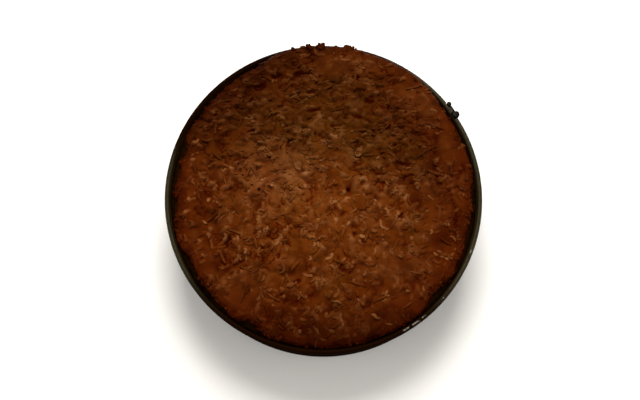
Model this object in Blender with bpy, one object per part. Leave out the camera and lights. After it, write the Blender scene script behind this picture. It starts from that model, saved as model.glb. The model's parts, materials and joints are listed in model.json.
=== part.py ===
"""A chocolate cake with a shredded topping, in its own springform tin.

Units are metres and +Z is up. The origin is the centre of the tin's underside.
The front of the cake faces -Y, and the tin's clasp stands at the back right.
"""
import math
import random

import bmesh
import bpy
from mathutils import Matrix, Vector, noise

MM = 0.001

# Tin band: a thin wall with a rolled rim on top and a groove for the base
TIN_INNER_RADIUS = 130.0 * MM
TIN_HEIGHT = 66.0 * MM
WALL = 0.7 * MM
ROLL_RADIUS = 2.2 * MM
ROLL_STEPS = 6
GROOVE_DEPTH = 1.8 * MM
GROOVE_LOW = 2.2 * MM
GROOVE_HIGH = 6.2 * MM
GROOVE_SLOPE = 1.0 * MM
BAND_FOOT = 0.8 * MM
BAND_STEPS = 72
BAND_SPLIT = 0.6 * MM
BAND_START_ALONG = 1.5 * MM

# Tongue: the band's inner end, which runs on behind the other end
TONGUE_GAP = 0.35 * MM
TONGUE_FROM, TONGUE_TO = -9.0 * MM, 12.0 * MM
TONGUE_JOINT_TO = -2.0 * MM
TONGUE_LOW = 8.2 * MM
TONGUE_HIGH = 54.0 * MM
OVERLAP = 0.3 * MM

# Tin base: a loose disc whose raised flange sits in the band's groove
BASE_SHEET = 0.8 * MM
BASE_FLANGE_RADIUS = 131.4 * MM
BASE_FLANGE_TOP = 4.7 * MM
BASE_FLANGE_SHEET = 1.0 * MM
BASE_STEP_RADIUS = 121.0 * MM
BASE_STEPS = 60

# Gap between pieces that touch on the real thing
GAP = 0.3 * MM

# Clasp: bearing round the tin and places along the rim from the lever's pin
CLASP_AZIMUTH = math.radians(33.8)
PIVOT_RADIUS = 134.9 * MM
LEVER_EYE_ALONG = -5.2 * MM
LEVER_EYE_RADIUS = 134.2 * MM
CATCH_ALONG = 5.8 * MM
CLASP_LOW = 28.0 * MM
CLASP_HIGH = 56.0 * MM
CLASP_MIDDLE = 0.5 * (CLASP_LOW + CLASP_HIGH)
LEAF_SHEET = 0.7 * MM
LEAF_LENGTH = 24.0 * MM
LEVER_SHEET = 0.8 * MM
LEVER_LENGTH = 52.0 * MM
LEVER_HALF_HEIGHT = 11.5 * MM
LEVER_TAPER = 0.28
LEVER_STEPS = 16
LEVER_FLARE = 3.4 * MM
LEVER_FLARE_FROM = 0.72
LEVER_TIP_FROM, LEVER_TIP_ROUNDING = 0.88, 0.35
RIB_FROM, RIB_TO = -38.0 * MM, -14.0 * MM
RIB_HALF_HEIGHT = 2.0 * MM
KNUCKLE_RADIUS = 2.0 * MM
KNUCKLE_HEIGHT = 6.0 * MM
WEB_HALF_WIDTH = 0.75 * MM
EYE_RADIUS = 1.9 * MM
BORE_RADIUS = 1.2 * MM
PIN_RADIUS = 0.95 * MM
PIN_HEAD_RADIUS = 1.7 * MM
PIN_HEAD_HEIGHT = 1.1 * MM
TOP_PLATE_HALF_WIDTH, BOTTOM_PLATE_HALF_WIDTH = 2.5 * MM, 1.7 * MM
LINK_PLATE = 1.2 * MM
LINK_TOP = 59.2 * MM
LINK_BOTTOM = 23.6 * MM
KNOB_TOP = 66.5 * MM
KNOB_LOW = 62.4 * MM
LARGE_KNOB_RADIUS = 3.1 * MM
SMALL_KNOB_RADIUS = 2.0 * MM
KNOB_ROUNDING = 0.6 * MM
NOTCH_NEAR, NOTCH_FAR, NOTCH_BEHIND = 0.3 * MM, 0.4 * MM, 0.25 * MM
NOTCH_LOW = 60.9 * MM
RIVET_RADIUS = 1.2 * MM
RIVET_HEAD_RADIUS = 2.2 * MM
RIVET_HEAD_HEIGHT = 0.9 * MM
RIVET_INNER_HEIGHT = 0.6 * MM
RIVET_ALONG = (-15.0 * MM, 17.0 * MM)
RIVET_HEIGHTS = (33.0 * MM, 51.0 * MM)

# Cake: one low round layer with a slightly uneven side and a domed top
CAKE_RADIUS = 124.0 * MM
CAKE_WOBBLE = 0.7 * MM
CAKE_WOBBLE_SCALE = 3.0
CAKE_EDGE_HEIGHT = 53.0 * MM
CAKE_CENTRE_HEIGHT = 60.5 * MM
CAKE_SHOULDER = 3.5 * MM
CAKE_RINGS = (0.35, 0.68, 0.88)
CAKE_SECTORS = 40

# Topping: a thick uneven spread, domed, with a ragged edge
TOPPING_SECTORS = 72
TOPPING_RINGS = (0.1, 0.22, 0.34, 0.46, 0.57, 0.68, 0.78, 0.87, 0.94)
TOPPING_RADIUS = 126.6 * MM
TOPPING_CENTRE_HEIGHT = 72.5 * MM
TOPPING_SHOULDER_HEIGHT = 66.6 * MM
TOPPING_LIP_HEIGHT = 60.0 * MM
TOPPING_LIP_BOTTOM = 57.0 * MM
LIP_ROUNDING = ((3.0 * MM, 0.72), (0.9 * MM, 0.34))
RIM_LIP = 1.2 * MM
SHELF_INSET, SEAT_INSET = 2.2 * MM, 5.0 * MM
WALL_CLEARANCE = 0.6 * MM
EDGE_NOISE = 0.9 * MM
EDGE_NOISE_SCALE = 9.0

# Where the topping lies over the rim, as bearings in degrees
RISE_START, RISE_END = 36.6, 41.4
REACH_START, REACH_END = 42.0, 54.0
LEAVE_START, LEAVE_END = 108.4, 112.9
FALL_START, FALL_END = 113.4, 118.4
OVER_RIM_RADIUS = 134.1 * MM
OVER_RIM_TOP = 69.6 * MM

# Swells and bays of the edge: bearing and half width in degrees, then reach
EDGE_FEATURES = (
    (13.5, 12.0, 4.2 * MM),
    (30.0, 9.0, 2.2 * MM),
    (39.5, 7.0, 3.2 * MM),
    (125.0, 17.0, 4.2 * MM),
    (141.5, 6.0, 2.0 * MM),
    (153.5, 6.5, 5.4 * MM),
    (162.5, 5.0, -2.6 * MM),
    (171.5, 4.5, -2.8 * MM),
    (184.5, 5.0, -2.8 * MM),
    (197.5, 8.0, 2.8 * MM),
    (208.0, 7.0, -1.8 * MM),
    (234.3, 4.0, 5.0 * MM),
    (241.5, 5.0, -2.6 * MM),
    (255.5, 11.0, 4.8 * MM),
    (276.0, 18.0, 3.6 * MM),
    (301.0, 15.0, 3.6 * MM),
    (318.5, 7.0, -2.4 * MM),
    (327.0, 4.0, 1.6 * MM),
    (346.0, 10.0, -1.2 * MM),
    (360.0, 5.0, -1.2 * MM),
)

# Relief of the topping: broad lumps, small lumps and the mark of a spatula
LUMP_SIZE, LUMP_HEIGHT = 24.0 * MM, 1.3 * MM
BUMP_SIZE, BUMP_HEIGHT = 9.0 * MM, 0.8 * MM
RIDGE_CENTRE = (-28.0 * MM, 0.5 * MM)
RIDGE_RADIUS = 62.5 * MM
RIDGE_FROM, RIDGE_TO = math.radians(182.0), math.radians(288.0)
RIDGE_WIDTH, RIDGE_HEIGHT = 4.0 * MM, 1.5 * MM

# Shreds that stand out of the topping, the largest of them
SHRED_COUNT = 96
SHRED_SEED = 26
SHRED_LENGTH = (9.0 * MM, 13.5 * MM)
SHRED_WIDTH = (2.0 * MM, 2.8 * MM)
SHRED_THICKNESS = 1.5 * MM
SHRED_LIFT = 0.5 * MM
SHRED_BEND = math.radians(34.0)
SHRED_STATIONS = 3
SHRED_EDGE_INSET = 7.5 * MM
SHRED_END = 0.6
SLIVER = 0.02 * MM
GOLDEN_ANGLE = math.pi * (3.0 - math.sqrt(5.0))

# Colours as linear RGB
TOPPING_COLOR = (0.085, 0.026, 0.008)
CAKE_COLOR = (0.045, 0.018, 0.008)
COATING_COLOR = (0.022, 0.020, 0.016)
STEEL_COLOR = (0.16, 0.15, 0.135)


def clear_scene():
    """Remove whatever the open file holds."""
    for item in list(bpy.data.objects):
        bpy.data.objects.remove(item, do_unlink=True)


def make_material(name, color, roughness, metallic=0.0):
    """A plain Principled material."""
    material = bpy.data.materials.new(name)
    material.use_nodes = True
    shader = material.node_tree.nodes["Principled BSDF"]
    shader.inputs["Base Color"].default_value = (*color, 1.0)
    shader.inputs["Roughness"].default_value = roughness
    shader.inputs["Metallic"].default_value = metallic
    return material


def make_object(name, shape, material=None, parent=None, origin=(0.0, 0.0, 0.0)):
    """Turn a bmesh, drawn in its parent's frame, into an object with its own origin."""
    bmesh.ops.recalc_face_normals(shape, faces=shape.faces)
    bmesh.ops.translate(shape, verts=shape.verts, vec=-Vector(origin))
    mesh = bpy.data.meshes.new(name)
    shape.to_mesh(mesh)
    shape.free()
    item = bpy.data.objects.new(name, mesh)
    item.location = origin
    item.parent = parent
    if material:
        mesh.materials.append(material)
    bpy.context.scene.collection.objects.link(item)
    return item


def shade_round(item, angle=math.radians(35.0)):
    """Smooth shading that keeps the sharp edges."""
    item.data.shade_smooth()
    item.data.set_sharp_from_angle(angle=angle)


def combine(item, pieces, operation):
    """Apply one Boolean between an object and a collection of pieces, then remove the pieces."""
    group = bpy.data.collections.new(item.name + "_pieces")
    bpy.context.scene.collection.children.link(group)
    for piece in pieces:
        bpy.context.scene.collection.objects.unlink(piece)
        group.objects.link(piece)
    modifier = item.modifiers.new("combine", "BOOLEAN")
    modifier.operation = operation
    modifier.operand_type = "COLLECTION"
    modifier.collection = group
    bpy.context.view_layer.update()
    graph = bpy.context.evaluated_depsgraph_get()
    mesh = bpy.data.meshes.new_from_object(item.evaluated_get(graph))
    item.modifiers.clear()
    item.data = mesh
    for piece in list(group.objects):
        bpy.data.objects.remove(piece, do_unlink=True)
    bpy.data.collections.remove(group)


def keep_main_body(item):
    """Keep the largest connected shell, so that sealed hollows are filled and scraps dropped."""
    shape = bmesh.new()
    shape.from_mesh(item.data)
    bmesh.ops.triangulate(shape, faces=shape.faces)
    bmesh.ops.dissolve_degenerate(shape, dist=SLIVER, edges=shape.edges)
    unseen = set(shape.faces)
    shells = []
    while unseen:
        shell, waiting = set(), [unseen.pop()]
        while waiting:
            face = waiting.pop()
            shell.add(face)
            for edge in face.edges:
                fresh = unseen.intersection(edge.link_faces)
                unseen -= fresh
                waiting.extend(fresh)
        shells.append(shell)
    shells.sort(key=len)
    for shell in shells[:-1]:
        corners = {corner for face in shell for corner in face.verts}
        bmesh.ops.delete(shape, geom=list(corners), context="VERTS")
    shape.to_mesh(item.data)
    shape.free()


def smoothstep(low, high, value):
    """Ease from 0 at low to 1 at high."""
    share = min(max((value - low) / (high - low), 0.0), 1.0)
    return share * share * (3.0 - 2.0 * share)


def mix(start, end, share):
    """Blend two numbers."""
    return start + (end - start) * share


def rim_point(radius, along):
    """A point in the clasp's frame, at a distance along the rim from the lever's pin."""
    angle = along / PIVOT_RADIUS
    return Vector((radius * math.cos(angle), radius * math.sin(angle)))


def prism(outline, low, high):
    """A flat outline raised to a solid between two heights."""
    shape = bmesh.new()
    corners = [shape.verts.new((point[0], point[1], low)) for point in outline]
    face = shape.faces.new(corners)
    raised = bmesh.ops.extrude_face_region(shape, geom=[face])
    moved = [part for part in raised["geom"] if isinstance(part, bmesh.types.BMVert)]
    bmesh.ops.translate(shape, verts=moved, vec=(0.0, 0.0, high - low))
    return shape


def loft(rings):
    """Rings of as many corners each, joined in order and closed at both ends."""
    shape = bmesh.new()
    rows = [[shape.verts.new(corner) for corner in ring] for ring in rings]
    for row, following in zip(rows, rows[1:]):
        for corner in range(len(row)):
            beside = (corner + 1) % len(row)
            shape.faces.new((row[corner], row[beside], following[beside], following[corner]))
    shape.faces.new(rows[0])
    shape.faces.new(rows[-1])
    return shape


def rim_plate(inner, outer, start, end, low, high, steps=8):
    """A plate bent to the rim's curve, between two radii and two places along the rim."""
    places = [mix(start, end, step / steps) for step in range(steps + 1)]
    outline = [rim_point(inner, along) for along in places]
    outline += [rim_point(outer, along) for along in reversed(places)]
    return prism(outline, low, high)


def post(centre, radius, low, high, sides=16):
    """An upright cylinder."""
    shape = bmesh.new()
    place = Matrix.Translation((centre[0], centre[1], 0.5 * (low + high)))
    bmesh.ops.create_cone(
        shape, cap_ends=True, segments=sides, radius1=radius, radius2=radius,
        depth=high - low, matrix=place)
    return shape


def bar(start, end, half_width, low, high):
    """A straight flat bar between two points in plan."""
    side = (end - start).normalized().orthogonal() * half_width
    return prism([start - side, end - side, end + side, start + side], low, high)


def stadium(start, end, radius, low, high, steps=6):
    """A flat link plate with round ends."""
    heading = math.atan2(end.y - start.y, end.x - start.x)
    outline = []
    for centre, turn in ((start, 0.5 * math.pi), (end, -0.5 * math.pi)):
        for step in range(steps + 1):
            angle = heading + turn + math.pi * step / steps
            outline.append(centre + radius * Vector((math.cos(angle), math.sin(angle))))
    return prism(outline, low, high)


def turned(profile, steps):
    """A profile of radius and height, from the axis round to the axis, turned full circle."""
    shape = bmesh.new()
    chain = [shape.verts.new((radius, 0.0, height)) for radius, height in profile]
    edges = [shape.edges.new(pair) for pair in zip(chain, chain[1:])]
    bmesh.ops.spin(
        shape, geom=chain + edges, cent=(0.0, 0.0, 0.0), axis=(0.0, 0.0, 1.0),
        angle=2.0 * math.pi, steps=steps, use_merge=True)
    bmesh.ops.remove_doubles(shape, verts=shape.verts, dist=0.01 * MM)
    return shape


def band_profile():
    """The band's closed section: inner face, rolled rim, outer face, groove and foot."""
    inner = TIN_INNER_RADIUS
    outer = inner + WALL
    roll_centre = (inner + ROLL_RADIUS, TIN_HEIGHT - ROLL_RADIUS)
    groove_out = inner + GROOVE_DEPTH
    points = [(inner, BAND_FOOT), (inner, GROOVE_LOW)]
    points += [(groove_out, GROOVE_LOW + GROOVE_SLOPE), (groove_out, GROOVE_HIGH - GROOVE_SLOPE)]
    points += [(inner, GROOVE_HIGH), (inner, TIN_HEIGHT * 0.5)]
    for step in range(ROLL_STEPS + 1):
        angle = math.pi - math.radians(300.0) * step / ROLL_STEPS
        radius = roll_centre[0] + ROLL_RADIUS * math.cos(angle)
        points.append((radius, roll_centre[1] + ROLL_RADIUS * math.sin(angle)))
    points += [(outer, TIN_HEIGHT - 2.0 * ROLL_RADIUS - WALL), (outer, GROOVE_HIGH + 0.5 * WALL)]
    points += [(groove_out + WALL, GROOVE_HIGH - GROOVE_SLOPE + 0.5 * WALL)]
    points += [(groove_out + WALL, GROOVE_LOW + GROOVE_SLOPE - 0.5 * WALL)]
    points += [(outer, GROOVE_LOW - 0.5 * WALL), (outer, BAND_FOOT)]
    return points


def swept_band():
    """The band's section swept almost full circle, open at the clasp."""
    start = BAND_START_ALONG / PIVOT_RADIUS
    sweep = 2.0 * math.pi - BAND_SPLIT / PIVOT_RADIUS
    shape = bmesh.new()
    section = [
        shape.verts.new((radius * math.cos(start), radius * math.sin(start), height))
        for radius, height in band_profile()]
    end_face = shape.faces.new(section)
    spun = bmesh.ops.spin(
        shape, geom=section + list(end_face.edges), cent=(0.0, 0.0, 0.0),
        axis=(0.0, 0.0, 1.0), angle=sweep, steps=BAND_STEPS)
    last = [part for part in spun["geom_last"] if isinstance(part, bmesh.types.BMEdge)]
    bmesh.ops.contextual_create(shape, geom=last)
    return shape


def radial_hole(along, height):
    """A cutter for one rivet's hole through the band and the leaf on it."""
    shape = bmesh.new()
    turn = Matrix.Rotation(along / PIVOT_RADIUS, 4, "Z")
    place = Matrix.Translation((TIN_INNER_RADIUS, 0.0, height))
    lay_down = Matrix.Rotation(0.5 * math.pi, 4, "Y")
    hole_radius = RIVET_RADIUS + GAP
    bmesh.ops.create_cone(
        shape, cap_ends=True, segments=10, radius1=hole_radius, radius2=hole_radius,
        depth=8.0 * MM, matrix=turn @ place @ lay_down)
    return shape


def rivet_holes(side, frame):
    """The two rivet cutters on one side of the clasp."""
    return [
        make_object(f"hole_{side}_{number}", radial_hole(RIVET_ALONG[side], height), parent=frame)
        for number, height in enumerate(RIVET_HEIGHTS)]


def make_band(coating, frame):
    """The springform band, with its overlapping tongue and the notches for the clasp's knobs."""
    band = make_object("tin_band", swept_band(), coating, frame)
    tongue_outer = TIN_INNER_RADIUS - TONGUE_GAP
    tongue_inner = tongue_outer - WALL
    tongue = rim_plate(
        tongue_inner, tongue_outer, TONGUE_FROM, TONGUE_TO, TONGUE_LOW, TONGUE_HIGH)
    root = rim_plate(
        tongue_inner + OVERLAP, TIN_INNER_RADIUS + OVERLAP, TONGUE_FROM + OVERLAP,
        TONGUE_JOINT_TO, TONGUE_LOW + OVERLAP, TONGUE_HIGH - OVERLAP, 3)
    combine(band, [
        make_object("tongue", tongue, parent=frame),
        make_object("tongue_root", root, parent=frame)], "UNION")
    notch_outer = TIN_INNER_RADIUS + 2.0 * ROLL_RADIUS + MM
    notch_high = TIN_HEIGHT + MM
    notches = []
    knobs = (
        (LEVER_EYE_RADIUS, LEVER_EYE_ALONG, LARGE_KNOB_RADIUS),
        (PIVOT_RADIUS, CATCH_ALONG, SMALL_KNOB_RADIUS))
    for radius, along, half in knobs:
        start, end = along - half - NOTCH_NEAR, along + half + NOTCH_FAR
        notch_inner = radius - half - NOTCH_BEHIND
        cutter = rim_plate(notch_inner, notch_outer, start, end, NOTCH_LOW, notch_high, 3)
        notches.append(make_object("notch", cutter, parent=frame))
    combine(band, notches + rivet_holes(0, frame) + rivet_holes(1, frame), "DIFFERENCE")
    shade_round(band)


def make_base(coating):
    """The loose base: a flat disc, a step up and the flange that the groove holds."""
    flange_low = BASE_FLANGE_TOP - BASE_FLANGE_SHEET
    step_out = BASE_STEP_RADIUS + 1.5 * MM
    profile = [
        (0.0, BASE_SHEET), (BASE_STEP_RADIUS, BASE_SHEET), (step_out, BASE_FLANGE_TOP),
        (BASE_FLANGE_RADIUS, BASE_FLANGE_TOP), (BASE_FLANGE_RADIUS, flange_low),
        (step_out + BASE_SHEET, flange_low), (BASE_STEP_RADIUS + BASE_SHEET, 0.0), (0.0, 0.0)]
    base = make_object("tin_base", turned(profile, BASE_STEPS), coating)
    shade_round(base)


def make_bracket(coating, frame):
    """The riveted leaf that carries the lever's pin in two knuckles."""
    leaf_inner = TIN_INNER_RADIUS + WALL + GAP
    leaf_outer = leaf_inner + LEAF_SHEET
    leaf = rim_plate(leaf_inner, leaf_outer, -LEAF_LENGTH, LEAF_SHEET, CLASP_LOW, CLASP_HIGH, 9)
    bracket = make_object("clasp_bracket", leaf, coating, frame)
    pivot = rim_point(PIVOT_RADIUS, 0.0)
    foot = rim_point(leaf_inner + OVERLAP, 0.0)
    pieces = []
    for low in (CLASP_LOW, CLASP_HIGH - KNUCKLE_HEIGHT):
        high = low + KNUCKLE_HEIGHT
        pieces.append(make_object("knuckle", post(pivot, KNUCKLE_RADIUS, low, high), parent=frame))
        web = bar(foot, pivot, WEB_HALF_WIDTH, low + OVERLAP, high - OVERLAP)
        pieces.append(make_object("web", web, parent=frame))
    combine(bracket, pieces, "UNION")
    bore = post(pivot, BORE_RADIUS, CLASP_LOW - MM, CLASP_HIGH + MM)
    combine(bracket, [make_object("bore", bore, parent=frame)] + rivet_holes(0, frame), "DIFFERENCE")
    shade_round(bracket)


def make_catch(coating, frame):
    """The riveted leaf with the standing flange that the link's pin pulls on."""
    leaf_inner = TIN_INNER_RADIUS + WALL + GAP
    leaf_outer = leaf_inner + LEAF_SHEET
    near = CATCH_ALONG - PIN_RADIUS - GAP - LEVER_SHEET
    leaf = rim_plate(leaf_inner, leaf_outer, near, near + LEAF_LENGTH, CLASP_LOW, CLASP_HIGH, 9)
    catch = make_object("clasp_catch", leaf, coating, frame)
    reach = PIVOT_RADIUS + PIN_RADIUS + 2.0 * GAP
    flange = rim_plate(
        leaf_inner + OVERLAP, reach, near, near + LEVER_SHEET,
        CLASP_LOW + OVERLAP, CLASP_HIGH - OVERLAP, 1)
    combine(catch, [make_object("flange", flange, parent=frame)], "UNION")
    combine(catch, rivet_holes(1, frame), "DIFFERENCE")
    shade_round(catch)


def make_rivets(steel, frame):
    """Four rivets that hold the clasp's leaves to the band."""
    outer_seat = TIN_INNER_RADIUS + WALL + GAP + LEAF_SHEET + GAP
    inner_seat = TIN_INNER_RADIUS - GAP
    inner_top = inner_seat - RIVET_INNER_HEIGHT
    head = RIVET_HEAD_RADIUS
    profile = [(0.0, inner_top), (0.9 * head, inner_top), (0.9 * head, inner_seat)]
    profile += [(RIVET_RADIUS, inner_seat), (RIVET_RADIUS, outer_seat), (head, outer_seat)]
    profile += [(0.75 * head, outer_seat + 0.6 * RIVET_HEAD_HEIGHT)]
    profile += [(0.0, outer_seat + RIVET_HEAD_HEIGHT)]
    for side, along in enumerate(RIVET_ALONG):
        for number, height in enumerate(RIVET_HEIGHTS):
            shape = turned(profile, 10)
            bmesh.ops.rotate(
                shape, verts=shape.verts, cent=(0.0, 0.0, 0.0),
                matrix=Matrix.Rotation(0.5 * math.pi, 3, "Y"))
            bmesh.ops.translate(shape, verts=shape.verts, vec=(0.0, 0.0, height))
            bmesh.ops.rotate(
                shape, verts=shape.verts, cent=(0.0, 0.0, 0.0),
                matrix=Matrix.Rotation(along / PIVOT_RADIUS, 3, "Z"))
            rivet = make_object(f"rivet_{2 * side + number + 1}", shape, steel, frame)
            shade_round(rivet)


def make_pin(steel, frame):
    """The lever's pin, peened over at both ends."""
    centre = rim_point(PIVOT_RADIUS, 0.0)
    low, high = CLASP_LOW - GAP, CLASP_HIGH + GAP
    head = PIN_HEAD_HEIGHT
    profile = [(0.0, high + head), (0.7 * PIN_HEAD_RADIUS, high + head), (PIN_HEAD_RADIUS, high)]
    profile += [(PIN_RADIUS, high), (PIN_RADIUS, low), (PIN_HEAD_RADIUS, low)]
    profile += [(0.7 * PIN_HEAD_RADIUS, low - head), (0.0, low - head)]
    shape = turned(profile, 12)
    bmesh.ops.translate(shape, verts=shape.verts, vec=(centre.x, centre.y, 0.0))
    shade_round(make_object("clasp_pin", shape, steel, frame, (centre.x, centre.y, 0.0)))


def lever_plate():
    """The lever's handle: a tapering plate that hugs the wall and flares at its end."""
    half_sheet = 0.5 * LEVER_SHEET
    rings = []
    for step in range(LEVER_STEPS + 1):
        share = step / LEVER_STEPS
        along = LEVER_EYE_ALONG - LEVER_LENGTH * share
        radius = LEVER_EYE_RADIUS + LEVER_FLARE * smoothstep(LEVER_FLARE_FROM, 1.0, share) ** 2
        rounding = LEVER_TIP_ROUNDING * smoothstep(LEVER_TIP_FROM, 1.0, share)
        half_height = LEVER_HALF_HEIGHT * (1.0 - LEVER_TAPER * share - rounding)
        inner = rim_point(radius - half_sheet, along)
        outer = rim_point(radius + half_sheet, along)
        low, high = CLASP_MIDDLE - half_height, CLASP_MIDDLE + half_height
        rings.append([(*inner, low), (*outer, low), (*outer, high), (*inner, high)])
    return loft(rings)


def make_lever(coating, frame):
    """The clasp's lever, with its hinge tube and the eye that pulls the link."""
    pivot = rim_point(PIVOT_RADIUS, 0.0)
    eye = rim_point(LEVER_EYE_RADIUS, LEVER_EYE_ALONG)
    tube_low = CLASP_LOW + KNUCKLE_HEIGHT + GAP
    tube_high = CLASP_HIGH - KNUCKLE_HEIGHT - GAP
    lever = make_object("clasp_lever", lever_plate(), coating, frame)
    rib = rim_plate(
        LEVER_EYE_RADIUS, LEVER_EYE_RADIUS + LEVER_SHEET, RIB_FROM, RIB_TO,
        CLASP_MIDDLE - RIB_HALF_HEIGHT, CLASP_MIDDLE + RIB_HALF_HEIGHT, 7)
    web = bar(eye, pivot, WEB_HALF_WIDTH, tube_low + OVERLAP, tube_high - OVERLAP)
    combine(lever, [
        make_object("rib", rib, parent=frame),
        make_object("tube", post(pivot, KNUCKLE_RADIUS, tube_low, tube_high), parent=frame),
        make_object("eye", post(eye, EYE_RADIUS, CLASP_LOW, CLASP_HIGH), parent=frame),
        make_object("web", web, parent=frame)], "UNION")
    bores = [
        make_object("bore", post(centre, BORE_RADIUS, CLASP_LOW - MM, CLASP_HIGH + MM), parent=frame)
        for centre in (pivot, eye)]
    combine(lever, bores, "DIFFERENCE")
    move_origin(lever, (pivot.x, pivot.y, 0.0))
    shade_round(lever)


def move_origin(item, origin):
    """Put an object's origin on its joint's axis without moving its shape."""
    item.data.transform(Matrix.Translation(-Vector(origin)))
    item.location = origin


def knobbed_pin(centre, knob_radius):
    """A link pin: a small peened foot, a long shank and the round knob at the rim."""
    foot_low = LINK_BOTTOM - RIVET_HEAD_HEIGHT
    profile = [(0.0, KNOB_TOP), (knob_radius - KNOB_ROUNDING, KNOB_TOP)]
    profile += [(knob_radius, KNOB_TOP - KNOB_ROUNDING), (knob_radius, KNOB_LOW)]
    profile += [(PIN_RADIUS, KNOB_LOW), (PIN_RADIUS, LINK_BOTTOM + 0.5 * LINK_PLATE)]
    profile += [(PIN_HEAD_RADIUS, LINK_BOTTOM + 0.4 * LINK_PLATE), (PIN_HEAD_RADIUS, foot_low)]
    profile += [(0.0, foot_low)]
    shape = turned(profile, 12)
    bmesh.ops.translate(shape, verts=shape.verts, vec=(centre.x, centre.y, 0.0))
    return shape


def make_link(steel, frame):
    """The link: two flat plates that join the lever's eye pin to the catch pin."""
    eye = rim_point(LEVER_EYE_RADIUS, LEVER_EYE_ALONG)
    catch = rim_point(PIVOT_RADIUS, CATCH_ALONG)
    top_plate = stadium(eye, catch, TOP_PLATE_HALF_WIDTH, LINK_TOP, LINK_TOP + LINK_PLATE)
    bottom_plate = stadium(
        eye, catch, BOTTOM_PLATE_HALF_WIDTH, LINK_BOTTOM, LINK_BOTTOM + LINK_PLATE)
    link = make_object("clasp_link", top_plate, steel, frame)
    combine(link, [
        make_object("bottom_plate", bottom_plate, parent=frame),
        make_object("eye_pin", knobbed_pin(eye, LARGE_KNOB_RADIUS), parent=frame),
        make_object("catch_pin", knobbed_pin(catch, SMALL_KNOB_RADIUS), parent=frame)], "UNION")
    move_origin(link, (eye.x, eye.y, 0.0))
    shade_round(link)


def polar_solid(section, sectors):
    """Join the sections at all bearings; each runs from the top's centre to the bottom's."""
    shape = bmesh.new()
    rows = []
    for number in range(sectors):
        azimuth = 2.0 * math.pi * number / sectors
        points = section(azimuth)
        if not rows:
            top = shape.verts.new((0.0, 0.0, points[0][1]))
            bottom = shape.verts.new((0.0, 0.0, points[-1][1]))
        rows.append([
            shape.verts.new((radius * math.cos(azimuth), radius * math.sin(azimuth), height))
            for radius, height in points[1:-1]])
    for row, following in zip(rows, rows[1:] + rows[:1]):
        shape.faces.new((top, row[0], following[0]))
        for (inner, outer), (next_inner, next_outer) in zip(
                zip(row, row[1:]), zip(following, following[1:])):
            shape.faces.new((inner, outer, next_outer, next_inner))
        shape.faces.new((bottom, following[-1], row[-1]))
    return shape


def cake_top(radius):
    """Height of the cake's domed top."""
    share = min(radius / CAKE_RADIUS, 1.0)
    return mix(CAKE_CENTRE_HEIGHT, CAKE_EDGE_HEIGHT, share ** 2.2)


def cake_section(azimuth):
    """The cake's section: domed top, uneven side and a bottom that fills the base."""
    around = Vector((math.cos(azimuth), math.sin(azimuth), 0.2)) * CAKE_WOBBLE_SCALE
    side = CAKE_RADIUS + CAKE_WOBBLE * noise.noise(around)
    belly = side - MM + CAKE_WOBBLE * noise.noise(2.0 * around)
    foot = BASE_FLANGE_TOP + GAP
    sunk = BASE_SHEET + GAP
    points = [(0.0, cake_top(0.0))]
    rings = [share * CAKE_RADIUS for share in CAKE_RINGS] + [CAKE_RADIUS - CAKE_SHOULDER]
    points += [(radius, cake_top(radius)) for radius in rings]
    points.append((side, CAKE_EDGE_HEIGHT - CAKE_SHOULDER))
    points += [(belly, 0.5 * CAKE_EDGE_HEIGHT), (side, foot), (BASE_STEP_RADIUS + MM, foot)]
    points += [(BASE_STEP_RADIUS - 2.0 * GAP, sunk), (0.0, sunk)]
    return points


def over_rim(degrees):
    """How far the topping has risen above the rim here, and how far it reaches over it."""
    rise = smoothstep(RISE_START, RISE_END, degrees) - smoothstep(FALL_START, FALL_END, degrees)
    reach = smoothstep(REACH_START, REACH_END, degrees) - smoothstep(LEAVE_START, LEAVE_END, degrees)
    return rise, reach


def edge_radius(azimuth):
    """The ragged outline of the topping."""
    degrees = math.degrees(azimuth) % 360.0
    around = Vector((math.cos(azimuth), math.sin(azimuth), 0.3)) * EDGE_NOISE_SCALE
    radius = TOPPING_RADIUS + EDGE_NOISE * noise.noise(around)
    for bearing, half_width, reach in EDGE_FEATURES:
        distance = abs((degrees - bearing + 180.0) % 360.0 - 180.0)
        radius += reach * (1.0 - smoothstep(0.25 * half_width, half_width, distance))
    radius = min(radius, TIN_INNER_RADIUS - WALL_CLEARANCE)
    rise, reach = over_rim(degrees)
    radius = mix(radius, TIN_INNER_RADIUS - WALL_CLEARANCE, rise)
    over = OVER_RIM_RADIUS - 0.6 * EDGE_NOISE * (1.0 + noise.noise(around * 2.0))
    return mix(radius, over, reach)


def ridge(x, y):
    """The crest that a spatula left in the topping."""
    across, up = x - RIDGE_CENTRE[0], y - RIDGE_CENTRE[1]
    bearing = math.atan2(up, across) % (2.0 * math.pi)
    fade = smoothstep(RIDGE_FROM, RIDGE_FROM + 0.4, bearing)
    fade *= 1.0 - smoothstep(RIDGE_TO - 0.4, RIDGE_TO, bearing)
    offset = (math.hypot(across, up) - RIDGE_RADIUS) / RIDGE_WIDTH
    return RIDGE_HEIGHT * fade * math.exp(-offset * offset)


def relief(x, y):
    """Lumps, bumps and the spatula's ridge."""
    place = Vector((x, y, 0.02))
    lumps = LUMP_HEIGHT * noise.noise(place / LUMP_SIZE)
    bumps = BUMP_HEIGHT * noise.noise(place / BUMP_SIZE)
    return lumps + bumps + ridge(x, y)


def topping_top(x, y):
    """Height of the topping before its edge rounds over."""
    azimuth = math.atan2(y, x) % (2.0 * math.pi)
    share = min(math.hypot(x, y) / TOPPING_RADIUS, 1.0)
    rise, _ = over_rim(math.degrees(azimuth))
    shoulder = mix(TOPPING_SHOULDER_HEIGHT, OVER_RIM_TOP, rise)
    return mix(TOPPING_CENTRE_HEIGHT, shoulder, share ** 2.6) + relief(x, y)


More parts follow.
